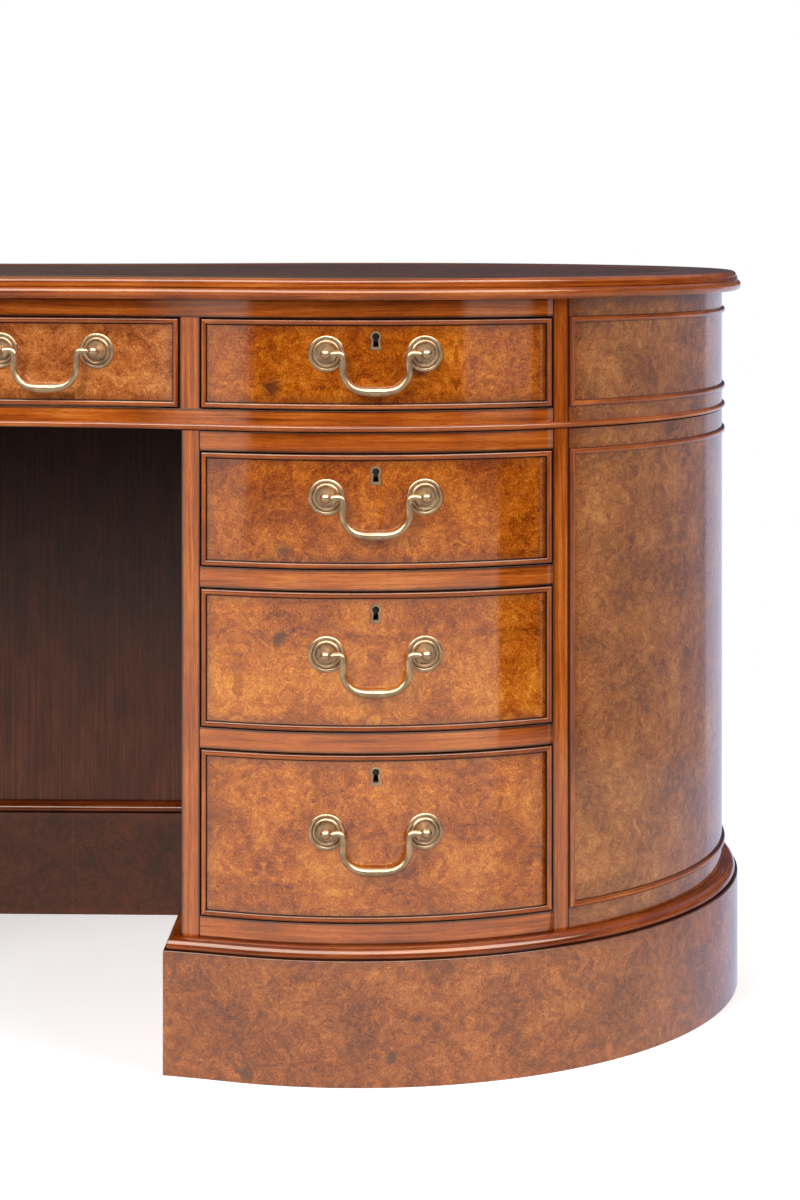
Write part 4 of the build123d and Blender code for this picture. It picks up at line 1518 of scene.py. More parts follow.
@dataclass
class Carcass:
    """Face frames, ends, backs, beads and plinths."""

    shop: Shop
    frame_depths: Pair = (-0.022, 0.0)
    end_depths: Pair = (-0.018, 0.0)
    back_depths: Pair = (-0.014, 0.0)
    joint: float = 0.00015
    pedestal_gap: float = 0.0008
    rail_step: float = 0.006
    waist_bead_height: float = 0.006
    waist_bead_projection: float = 0.0035
    panel_bead: NosedBead = NosedBead(0.0065, -0.002, 0.0004, 0.0033)
    plinth_projection: float = 0.0168
    plinth_back: float = -0.0152
    kneehole_back: float = -0.018
    moulding_projection: float = 0.014
    mortise_width: float = 0.0208
    mortise_back: float = -0.0199
    mortise_front: float = -0.0131
    mortise_depth: float = 0.0088
    levels: tuple[Pair, ...] = ((0.153, 0.1635), (0.337, 0.136), (0.4935, 0.1125))

    @property
    def pedestal(self) -> Pair:
        """Foot and head of the pedestals' boards."""
        return (PLAN.pedestal_bottom, PLAN.pedestal_top - self.pedestal_gap)

    def fit_pair(self, draft: Draft, name: str, finish: str, slot: str, *nodes: str) -> None:
        """Make a piece and its mirror image on the left as one object."""
        self.shop.fit(draft.with_mirror_image(), name, finish, slot, *nodes)

    def add_mortise(self, draft: Draft, lock: "FacePlace", low: float) -> None:
        """Add the room that a lock's bolt needs in the rail above its drawer.

        Args:
            draft: Draft of what is cut away.
            lock: Place of the lock on the face.
            low: Lower edge of the rail.
        """
        half, back, front = self.mortise_width / 2, self.mortise_back, self.mortise_front
        section = ((-half, back), (half, back), (half, front), (-half, front))
        rings = [[lock.at(x, out, z) for x, out in section] for z in (low - 0.001, low + self.mortise_depth)]
        draft.add_run(rings, [0.0, self.mortise_depth])

    def build(self) -> None:
        """Make every piece of the carcass."""
        self.build_frieze_frame()
        self.build_pedestal_frames()
        self.build_shells()
        self.build_beads()
        self.build_plinths()
        self.shop.keep("modesty_panel", "dark_walnut")
        for node in ("frieze_runner_frames", "pedestal_runner_frames"):
            self.shop.keep(node, "oak")

    def build_frieze_frame(self) -> None:
        """Rails, muntins and end stiles round the frieze drawers."""
        low, top = PLAN.pedestal_top, PLAN.frieze_top
        rail_low, rail_high = PLAN.frieze_opening
        reach = PLAN.drawer_right - self.joint
        rails = Draft()
        for heights, grain_start in (((low, rail_low), 0.2), ((rail_high, top), 5.3)):
            section = board_section(self.frame_depths, heights)
            add_bar(rails, PLAN.on_front, (-reach, reach), section, self.rail_step, (grain_start, heights[0]))
        mortises = Draft()
        self.add_mortise(mortises, FacePlace.on_end(PLAN.drawer_middle), rail_high)
        mortises = mortises.with_mirror_image()
        self.add_mortise(mortises, FacePlace.on_hollow(0.0), rail_high)
        self.shop.fit(rails, "frieze_rails", "walnut", "walnut", "frieze_face_frame", cuts=[mortises])
        posts = Draft()
        lengths = (PLAN.centre_half, PLAN.drawer_left)
        heights = (rail_low + self.joint, rail_high - self.joint)
        add_post(posts, PLAN.on_front, lengths, heights, self.frame_depths, 7.4)
        self.add_end_stile(posts, (low, top), 9.1)
        self.fit_pair(posts, "frieze_stiles", "walnut", "walnut")

    def add_end_stile(self, draft: Draft, heights: Pair, grain_start: float) -> None:
        """Add the stile between the drawers and the round end."""
        lengths = (PLAN.stile_start, PLAN.stile_end)
        add_post(draft, PLAN.on_end, lengths, heights, self.frame_depths, grain_start)

    def build_pedestal_frames(self) -> None:
        """Stiles and rails round the pedestal drawers."""
        low, high = self.pedestal
        posts = Draft()
        lengths = (PLAN.kneehole_half, PLAN.drawer_left)
        add_post(posts, PLAN.on_front, lengths, self.pedestal, self.frame_depths, 0.7)
        self.add_end_stile(posts, self.pedestal, 2.9)
        self.fit_pair(posts, "pedestal_stiles", "walnut", "walnut", "pedestal_face_frames")
        rails, mortises = Draft(), Draft()
        lengths = (PLAN.drawer_left + self.joint, PLAN.drawer_right - self.joint)
        heads = [z0 + height for z0, height in self.levels]
        spans = [(low, self.levels[0][0])] + [(head, head + PLAN.rail_height) for head in heads]
        for i, (bottom, top) in enumerate(spans):
            section = board_section(self.frame_depths, (bottom, min(top, high)))
            add_bar(rails, PLAN.on_front, lengths, section, self.rail_step, (1.3 * i + 0.4, bottom))
        for head in heads:
            self.add_mortise(mortises, FacePlace.on_end(PLAN.drawer_middle), head)
        cuts = [mortises.with_mirror_image()]
        self.shop.fit(rails.with_mirror_image(), "pedestal_rails", "walnut", "walnut", cuts=cuts)

    def build_shells(self) -> None:
        """Veneered round ends, hollow backs and the kneehole's sides."""
        end = PLAN.panel_end
        frieze = (PLAN.pedestal_top, PLAN.frieze_top)
        lengths = (PLAN.stile_end + self.joint, end)
        ends = (
            (frieze, "frieze_ends", "frieze_shell", 0.31),
            (self.pedestal, "pedestal_ends", "pedestal_shells", 1.7),
        )
        for heights, name, node, figure in ends:
            draft = Draft()
            add_panel(draft, PLAN.on_end, lengths, heights, self.end_depths, (figure, figure))
            self.fit_pair(draft, name, "burr_end", "burr_walnut", node)
        corner = math.sin(end / PLAN.end_radius) * PLAN.end_radius + PLAN.end_centre_x
        back = Draft()
        add_panel(back, PLAN.on_back, (-corner, corner), frieze, self.back_depths, (2.2, 0.9))
        self.shop.fit(back, "frieze_back", "burr_end", "burr_walnut")
        back = Draft()
        lengths = (PLAN.kneehole_half, corner)
        add_panel(back, PLAN.on_back, lengths, self.pedestal, self.back_depths, (4.2, 1.9))
        self.fit_pair(back, "pedestal_backs", "burr_end", "burr_walnut")
        front = PLAN.front_y(PLAN.kneehole_half, self.frame_depths[0])
        rear = -PLAN.front_y(PLAN.kneehole_half, self.back_depths[0])
        outline = [(PLAN.kneehole_half, front), (PLAN.kneehole_half, rear)]
        outline += [(PLAN.kneehole_half - self.end_depths[0], y) for y in (rear, front)]
        side = Draft().add_run([[(x, y, z) for x, y in outline] for z in self.pedestal], self.pedestal)
        self.fit_pair(side, "kneehole_sides", "dark_side", "burr_walnut")

    def build_beads(self) -> None:
        """Waist bead round the desk and the beads that frame the ends as panels."""
        z0, half = PLAN.pedestal_top, self.waist_bead_height / 2
        back, root, trim = -0.003, 0.0006, 0.0001
        nose = arc((root, z0 + half), half - trim, -90, 90, 12)
        reach = self.waist_bead_projection - root
        section = [(back, z0 + trim)] + [(root + (out - root) * reach / half, z) for out, z in nose]
        section += [(back, z0 + 2 * half - trim)]
        waist = self.shop.growth.sweep("waist_bead", section, self.shop.finishes["walnut_moulding"])
        self.shop.place(waist, "carcass", "walnut", "bead_mouldings")
        panels = Draft()
        lengths = (PLAN.stile_end, PLAN.panel_end)
        pedestal = (self.levels[0][0], self.levels[2][0] + self.levels[2][1])
        for heights, grain_start in ((PLAN.frieze_opening, 3.3), (pedestal, 6.1)):
            add_bead_frame(panels, PLAN.on_end, lengths, heights, self.panel_bead, 0.008, grain_start)
        self.fit_pair(panels, "end_panel_beads", "walnut_bead", "walnut")

    def moulding_section(self, back: float) -> list[Pair]:
        """Offsets and heights of the base moulding: a quirk, a nose and an ovolo up to the carcass.

        Args:
            back: Offset of its back.

        Returns:
            The points, counter-clockwise.
        """
        z0, z1 = PLAN.plinth_height, PLAN.pedestal_bottom
        out = self.moulding_projection
        radius = 0.0085
        nose = [(out - 0.003, z0), (out - 0.0032, z0 + 0.0012), (out - 0.0006, z0 + 0.0014)]
        return [(back, z0)] + nose + arc((out - radius, z1 - radius), radius, 0, 90, 9) + [(back, z1)]

    @staticmethod
    def ring(section: Outline, rims: bool) -> Draft:
        """Section carried round the right-hand pedestal, its corners mitred.

        Args:
            section: Offsets and heights.
            rims: Map the distance from its upper edge.

        Returns:
            The draft.
        """
        loops = [PLAN.pedestal_loop(offset) for offset, height in section]
        count = len(loops[0])
        rings = [[(*loop[i], height) for loop, (offset, height) in zip(loops, section)] for i in range(count)]
        along = [0.0]
        for here, there in zip(loops[1], loops[1][1:]):
            along.append(along[-1] + math.dist(here, there))
        top = max(height for offset, height in section)
        gaps = [((1.0, 1.0), (1.0, top - height)) for offset, height in section]
        maps = [gaps] * count if rims else None
        return Draft().add_run(rings, along, closed=True, lift=section[0][1], rims=maps)

    def build_plinths(self) -> None:
        """Plinth boards and base mouldings of the pedestals and of the kneehole."""
        out, top, ease = self.plinth_projection, PLAN.plinth_height, 0.0012
        face = arc((out - ease, top - ease), ease, 0, 90, 4)
        foot = [(self.plinth_back, 0.0), (out - 0.0006, 0.0), (out, 0.0006)]
        section = foot + face + [(self.plinth_back, top)]
        # The plinth burr's rim line at its upper edge is a dark joint with painted shadow under the base
        # moulding.
        self.fit_pair(self.ring(section, True), "plinth_boards", "burr_plinth", "burr_walnut", "plinths")
        moulding = self.ring(self.moulding_section(self.plinth_back), False)
        self.fit_pair(moulding, "base_mouldings", "walnut_base", "walnut")
        section = [(self.kneehole_back, 0.0), (out, 0.0)] + face + [(self.kneehole_back, top)]
        moulding = self.moulding_section(self.kneehole_back)
        across = (
            # The kneehole plinth's darker burr is painted shade of the recess.
            ("kneehole_plinth", "kneehole_shade_burr", "burr_walnut", out, section),
            ("kneehole_moulding", "walnut_base", "walnut", self.moulding_projection, moulding),
        )
        for name, finish, slot, projection, section in across:
            half = PLAN.kneehole_half - projection
            board = Draft()
            add_bar(board, PLAN.on_modesty, (-half, half), section, 0.3, (0.5, section[0][1]))
            self.shop.fit(board, name, finish, slot)


# ---- Drawers


@dataclass(frozen=True)
class FacePlace:
    """Place on a curved face, with the directions along the face and out of it."""

    x: float
    y: float
    angle: float

    @classmethod
    def on_end(cls, angle: float) -> "FacePlace":
        """Place on the right-hand end at an angle from its foremost point."""
        reach = PLAN.end_radius
        return cls(PLAN.end_centre_x + reach * math.sin(angle), -reach * math.cos(angle), angle)

    @classmethod
    def on_hollow(cls, angle: float) -> "FacePlace":
        """Place on the hollow front at an angle from its middle."""
        reach = PLAN.hollow_radius
        return cls(reach * math.sin(angle), reach * math.cos(angle) - PLAN.hollow_centre_y, -angle)

    def at(self, along: float, out: float, z: float) -> Place:
        """World place of local measures: along the face, out of it and up."""
        cos, sin = math.cos(self.angle), math.sin(self.angle)
        return (self.x + along * cos + out * sin, self.y + along * sin - out * cos, z)

    @property
    def outward(self) -> Place:
        """Direction out of the face."""
        return (math.sin(self.angle), -math.cos(self.angle), 0.0)


@dataclass(frozen=True)
class Keyhole:
    """Keyhole and the brass escutcheon round it, in metres."""

    eye_radius: float = 0.0034
    neck_width: float = 0.0042
    stem_width: float = 0.0056
    stem_drop: float = 0.0098
    head_radius: float = 0.0054
    foot_width: float = 0.0106
    waist_width: float = 0.0086
    foot_drop: float = 0.0127
    corner: float = 0.0009
    drop: float = 0.023
    thickness: float = 0.0016
    projection: float = 0.0004
    pocket_gap: float = 0.00025
    depth: float = 0.0195
    clear: float = 0.01

    def opening(self) -> list[Pair]:
        """Outline of the keyhole.

        Returns:
            The points, counter-clockwise.
        """
        half, low = self.stem_width / 2, -self.stem_drop
        lean = math.degrees(math.asin(self.neck_width / 2 / self.eye_radius))
        return [(-half, low), (half, low)] + arc((0.0, 0.0), self.eye_radius, -90 + lean, 270 - lean, 22)

    def plate(self, grown_by: float = 0.0) -> list[Pair]:
        """Outline of the escutcheon, or of the pocket round it.

        Args:
            grown_by: How far the outline stands outside the plate.

        Returns:
            The points, counter-clockwise.
        """
        sizes = (self.foot_width / 2, self.waist_width / 2, self.head_radius)
        foot, waist, head_radius = (size + grown_by for size in sizes)
        low, corner = -self.foot_drop - grown_by, self.corner
        lean = math.degrees(math.acos(waist / head_radius))
        base = [(-foot + corner, low), (foot - corner, low), (foot, low + corner)]
        return base + arc((0.0, 0.0), head_radius, -lean, 180 + lean, 26) + [(-foot, low + corner)]

    @staticmethod
    def prism(outline: Outline, place: FacePlace, eye_z: float, back: float, front: float) -> Draft:
        """Prism of an outline round the eye, from behind a face to in front of it."""
        rings = [[place.at(x, out, eye_z + z) for x, z in outline] for out in (-back, front)]
        return Draft().add_run(rings, [0.0, back + front])

    def drafts(self, place: FacePlace, eye_z: float) -> tuple[Draft, Draft, Draft]:
        """Escutcheon, and what is cut away for it and for the keyhole.

        Args:
            place: Place of the eye on the face.
            eye_z: Its height.

        Returns:
            Drafts of the plate, its pocket and the hole.
        """
        back = self.thickness - self.projection
        plate = self.prism(self.plate(), place, eye_z, back, self.projection)
        pocket = self.prism(self.plate(self.pocket_gap), place, eye_z, back, self.clear)
        return plate, pocket, self.prism(self.opening(), place, eye_z, self.depth, self.clear)


@dataclass(frozen=True)
class BailPlane:
    """Plane that a bail hangs in."""

    place: FacePlace
    out: float
    z: float
    side: Side = Side.RIGHT

    def at(self, x: float, up: float, out: float = 0.0) -> Place:
        """World place of local measures: along the bail, up from its axis and out of its plane."""
        px, py, pz = self.place.at(x, self.out + out, self.z + up)
        return (self.side.value * px, py, pz)


@dataclass
class SwanNeckHandle:
    """Bail of a swan-neck pattern between two turned pommels."""

    shop: Shop
    span: float = 0.0974
    standoff: float = 0.011
    ball_radius: float = 0.0053
    rod_radius: float = 0.0033
    swell: float = 0.0013
    neck_radius: float = 0.0024
    seat_gap: float = 0.00013
    neck_x: float = 0.0310
    bow_x: float = 0.0334
    drop: float = 0.0366
    pommel_sides: int = 40
    beak_sides: int = 10
    beak_flatness: float = 0.9
    pintle_sides: int = 14
    pintle_radius: float = 0.0017

    @property
    def arm(self) -> float:
        """Distance of the arms' ends from the bail's middle."""
        return self.span / 2 - self.ball_radius - 0.0009

    def pommel_profile(self) -> list[Pair]:
        """Radius and height of the pommel: ringed rose, neck and ball.

        Returns:
            The points, from the foot to the tip.
        """
        neck, radius, centre = self.neck_radius, self.ball_radius, self.standoff
        rose = [(0.0175, self.seat_gap), (0.0175, 0.0010), (0.0171, 0.0014), (0.0163, 0.0017)]
        rose += [(0.0153, 0.0017), (0.0146, 0.0014), (0.0142, 0.0009), (0.0138, 0.0010)]
        rose += [(0.0134, 0.0019), (0.0127, 0.0026)]
        rose += [(0.0120, 0.0028), (0.0113, 0.0025), (0.0108, 0.0018), (0.0102, 0.0012), (0.0084, 0.0010)]
        rose += [(0.0050, 0.0011), (0.0032, 0.0013), (0.0026, 0.0016), (neck, 0.0024), (neck, 0.0058)]
        turns = [math.radians(a) for a in spread(math.degrees(math.asin(neck / radius)), 180.0, 11.0)[:-1]]
        ball = [(radius * math.sin(a), centre - radius * math.cos(a)) for a in turns]
        return [(0.0, self.seat_gap)] + rose + ball + [(0.0, centre + radius)]

    def build_pommel(self) -> Object:
        """Turned pommel on the Z axis, kept only as a pattern.

        Returns:
            The pattern's object.
        """
        draft = Draft()
        draft.add_lathe(self.pommel_profile(), self.pommel_sides)
        return draft.to_object("pommel_pattern", self.shop.finishes["brass"])

    def centre_line(self) -> list[Pair]:
        """Centre line of the bail, hanging from the line through its balls.

        Returns:
            Points along the face and up.
        """
        corners = [(-self.arm, 0.0, 0.0), (-self.neck_x, 0.0010, 0.0052)]
        corners += [(-self.bow_x, -self.drop + 0.0036, 0.0205)]
        corners += [(-0.008, -self.drop, 0.030), (0.0, -self.drop, 0.0)]
        half = rounded_path(corners)
        return half + [(-x, z) for x, z in reversed(half[:-1])]

    def build_bail(self, name: str, plane: BailPlane) -> Object:
        """Bail with its beaks and pintles, in its place.

        Args:
            name: Name of the piece.
            plane: Plane that it hangs in.

        Returns:
            The object.
        """
        brass = self.shop.finishes["brass"]
        path = [plane.at(*spot) for spot in self.centre_line()]
        rod = self.shop.growth.bend_rod(name, path, (self.rod_radius, self.swell), brass)
        return joined_objects(name, rod, self.draft_tips(plane).to_object(name + "_beaks", brass))

    def draft_tips(self, plane: BailPlane) -> Draft:
        """Beak under the end of each arm, and the round pintle there that turns in the ball.

        Args:
            plane: Plane that the bail hangs in.

        Returns:
            The draft.
        """
        stations = ((0.0032, -0.0004, 0.0030), (0.0026, -0.0028, 0.0026), (0.0016, -0.0050, 0.0017))
        stations += ((0.0008, -0.0066, 0.0008), (0.0004, -0.0073, 0.0003))
        pintle, flatness = self.pintle_radius, self.beak_flatness
        draft = Draft()
        for hand in (-1, 1):
            rings = []
            for inward, up, radius in stations:
                x = hand * (self.arm - inward)
                turned = circle(self.beak_sides)
                rings.append([plane.at(x + radius * cos, up, radius * flatness * sin) for cos, sin in turned])
            draft.add_run(rings, [0.0] * len(rings))
            rings = []
            for reach in (self.arm - 0.0006, self.span / 2 + 0.0008):
                turned = circle(self.pintle_sides)
                rings.append([plane.at(hand * reach, pintle * cos, pintle * sin) for cos, sin in turned])
            draft.add_run(rings, [0.0, 0.01])
        return draft


def rounded_path(corners: Sequence[tuple[float, float, float]]) -> list[Pair]:
    """Points along straight runs whose corners are rounded.

    Args:
        corners: Place of each corner and the radius of its round.

    Returns:
        The points.
    """
    points = [corners[0][:2]]
    for before, (x, z, radius), after in zip(corners, corners[1:], corners[2:]):
        corner = Vector((x, z))
        back = Vector((before[0] - x, before[1] - z)).normalized()
        ahead = Vector((after[0] - x, after[1] - z)).normalized()
        half = back.angle(ahead) / 2
        reach = radius / math.tan(half)
        middle = corner + (back + ahead).normalized() * (radius / math.sin(half))
        start = corner + back * reach - middle
        swing = start.angle_signed(corner + ahead * reach - middle)
        steps = max(3, round(math.degrees(abs(swing)) / 9))
        for i in range(steps + 1):
            turned = start.copy()
            turned.rotate(Matrix.Rotation(-swing * i / steps, 2))
            points.append(tuple(middle + turned))
    points.append(corners[-1][:2])
    return points


@dataclass(frozen=True)
class DrawerLevel:
    """Row of drawers: its name, the lower edge and height of its openings, and its handles' height."""

    name: str
    low: float
    height: float
    handle_z: float

    def edges(self, gap: float) -> Pair:
        """Lower and upper edge of the fronts, with a gap to the openings."""
        return (self.low + gap, self.low + self.height - gap)


@dataclass
class Drawers:
    """Nine drawers: veneered curved fronts in cock beads, escutcheons, locks, pommels and bails."""

    shop: Shop
    handle: SwanNeckHandle
    keyhole: Keyhole = Keyhole()
    gap: float = 0.0012
    depths: Pair = (-0.020, 0.0)
    cock_bead: NosedBead = NosedBead(0.0053, -0.020, 0.0008, 0.0025)
    quirk: float = 0.0003
    lock_width: float = 0.050
    lock_step: float = 0.004
    lock_plate: float = 0.0016
    lock_thickness: float = 0.0108
    lock_back: float = 0.022
    lock_drop: float = 0.038
    handle_end_distance: float = 0.131
    levels: tuple[DrawerLevel, ...] = (
        DrawerLevel("frieze", 0.647, 0.089, 0.702),
        DrawerLevel("upper", 0.4935, 0.1125, 0.56375),
        DrawerLevel("middle", 0.337, 0.136, 0.4123),
        DrawerLevel("bottom", 0.153, 0.1635, 0.24105),
    )

    def build(self) -> None:
        """Make every drawer."""
        pattern = self.handle.build_pommel()
        middle = PLAN.drawer_middle
        reach = PLAN.end_radius + self.handle.standoff
        turn = math.asin(self.handle.span / 2 / reach)
        out = reach * math.cos(turn) - PLAN.end_radius
        lengths = (PLAN.drawer_left + self.gap, PLAN.drawer_right - self.gap)
        seats = [FacePlace.on_end(angle) for angle in (middle - turn, middle + turn)]
        for i, level in enumerate(self.levels):
            for side in Side:
                stem = f"{side.word}_{level.name}_drawer"
                figure = (0.37 * i + 0.021 + (1.9 if side is Side.LEFT else 0.0), 0.23 * i + 0.04)
                self.build_front(stem, lengths, level.edges(self.gap), figure, side, FacePlace.on_end(middle))
                self.build_pommels(stem, pattern, seats, level.handle_z, side)
                plane = BailPlane(FacePlace.on_end(middle), out, level.handle_z, side)
                self.build_bail(f"{side.word}_{level.name}_bail", plane)
        self.build_centre(pattern)
        bpy.data.objects.remove(pattern)

    def build_centre(self, pattern: Object) -> None:
        """Make the wide hollow drawer over the kneehole, with its two handles.

        Args:
            pattern: Pattern of the pommel.
        """
        half = PLAN.centre_half - self.gap
        level = self.levels[0]
        lock = FacePlace.on_hollow(0.0)
        self.build_front("centre_drawer", (-half, half), level.edges(self.gap), (5.6, 2.3), Side.RIGHT, lock)
        reach = PLAN.hollow_radius - self.handle.standoff
        middle = math.asin((half - self.handle_end_distance) / PLAN.hollow_radius)
        turn = math.asin(self.handle.span / 2 / reach)
        out = PLAN.hollow_radius - reach * math.cos(turn)
        seats = []
        for name, angle in (("centre_left_bail", -middle), ("centre_right_bail", middle)):
            seats += [FacePlace.on_hollow(angle - turn), FacePlace.on_hollow(angle + turn)]
            self.build_bail(name, BailPlane(FacePlace.on_hollow(angle), out, level.handle_z))
        self.build_pommels("centre_drawer", pattern, seats, level.handle_z, Side.RIGHT)

    def build_bail(self, bail: str, plane: BailPlane) -> None:
        """Make one bail and place it on its body."""
        self.shop.place(self.handle.build_bail(bail + "_swan_neck", plane), bail, "aged_brass", bail)

    def build_front(
        self, stem: str, lengths: Pair, heights: Pair, figure: Pair, side: Side, lock: FacePlace
    ) -> None:
        """Make one drawer's front, beads, escutcheon and lock, and dress its other nodes.

        Args:
            stem: Name of the drawer.
            lengths: Left and right edge of the front.
            heights: Its lower and upper edge.
            figure: Place on the veneer.
            side: Half of the desk.
            lock: Place of the lock on the face.
        """
        (left, right), (low, high) = lengths, heights
        inset = self.cock_bead.width + self.quirk
        board, beads = Draft(), Draft()
        inner = ((left + inset, right - inset), (low + inset, high - inset))
        add_panel(board, PLAN.on_front, *inner, self.depths, figure)
        add_bead_frame(beads, PLAN.on_front, lengths, heights, self.cock_bead, 0.007, figure[0] * 2.3)
        eye_z = high + self.gap - self.keyhole.drop + self.keyhole.head_radius
        drafts = (board, beads, self.draft_lock_case(lock, high), *self.keyhole.drafts(lock, eye_z))
        if side is Side.LEFT:
            drafts = tuple(draft.mirrored() for draft in drafts)
        board, beads, case, plate, pocket, hole = drafts
        fit, brass = self.shop.fit, "aged_brass"
        # The centre drawer's paler burr is painted reflection.
        veneer = "burr_centre_painted_reflection" if stem == "centre_drawer" else "burr"
        front = (board, stem + "_veneered_front", veneer, "burr_walnut", stem + "_front")
        fit(*front, body=stem, cuts=(pocket, hole))
        fit(beads, stem + "_cock_beads", "walnut_bead", "burr_walnut", body=stem)
        fit(plate, stem + "_escutcheon", "brass", brass, stem + "_brass", body=stem, cuts=[hole])
        # The lock case behind the keyhole wears painted shade.
        fit(case, stem + "_lock_case", "case_painted_shade", brass, body=stem, cuts=[hole])
        self.shop.keep(stem + "_box", "oak")
        self.shop.keep(stem + "_bolt", "steel")

    def draft_lock_case(self, lock: FacePlace, high: float) -> Draft:
        """Case of the lock behind the front, on its wider back plate.

        Args:
            lock: Place of the lock on the face.
            high: Upper edge of the front.

        Returns:
            The draft.
        """
        wide, narrow = self.lock_width / 2, self.lock_width / 2 - self.lock_step
        back, front = -self.lock_back, -self.lock_back + self.lock_thickness
        seat = back + self.lock_plate
        right = [(wide, back), (wide, seat), (narrow, seat), (narrow, front)]
        section = [(-wide, back), *right, *((-x, out) for x, out in reversed(right[1:]))]
        levels = (high - self.lock_drop, high - self.quirk)
        rings = [[lock.at(x, out, z) for x, out in section] for z in levels]
        return Draft().add_run(rings, [0.0, self.lock_drop])

    def build_pommels(
        self, stem: str, pattern: Object, seats: Iterable[FacePlace], z: float, side: Side
    ) -> None:
        """Stand the pommels of one drawer on their seats.

        Args:
            stem: Name of the drawer.
            pattern: Pattern of the pommel.
            seats: Places on the face.
            z: Height of the pommels.
            side: Half of the desk.
        """
        placed = []
        for seat in seats:
            x, y, level = seat.outward
            placed.append(((side.value * seat.x, seat.y, z), (side.value * x, y, level)))
        made = self.shop.growth.stand_on(stem + "_pommels", pattern, placed, self.shop.finishes["brass"])
        self.shop.place(made, stem, "aged_brass")


# ---- Floor, light and camera


@dataclass(frozen=True)
class BrightZone:
    """Lit part of the studio that the polish mirrors, by heading from the sitter's side and by height."""

    heading: Pair
    height: Pair
    level: float
    heading_blur: float
    height_blur: float

    def level_at(self, w: Wiring, heading: Socket, height: Socket) -> Socket:
        """Brightness of the zone in a direction.

        Args:
            w: Wiring of the world.
            heading: Degrees to the right of straight ahead.
            height: Vertical share of the direction.

        Returns:
            Socket of the brightness.
        """
        found = self.level
        bounds = ((heading, self.heading, self.heading_blur), (height, self.height, self.height_blur))
        for value, (low, high), blur in bounds:
            found = w.times(found, w.span(value, low - blur / 2, low + blur / 2))
            found = w.times(found, w.span(value, high - blur / 2, high + blur / 2, 1.0, 0.0))
        return found


@dataclass(frozen=True)
class Lamp:
    """Round soft lamp, aimed at a target."""

    name: str
    place: Place
    target: Place
    size: float
    power: float

    def hang(self) -> None:
        """Add the lamp to the scene, out of sight of the polish."""
        light = bpy.data.lights.new(self.name, "AREA")
        light.shape = "DISK"
        light.size = self.size
        light.energy = self.power
        lamp = linked(self.name, light)
        lamp.visible_glossy = False
        lamp.location = self.place
        lamp.rotation_euler = (Vector(self.target) - Vector(self.place)).to_track_quat("-Z", "Y").to_euler()


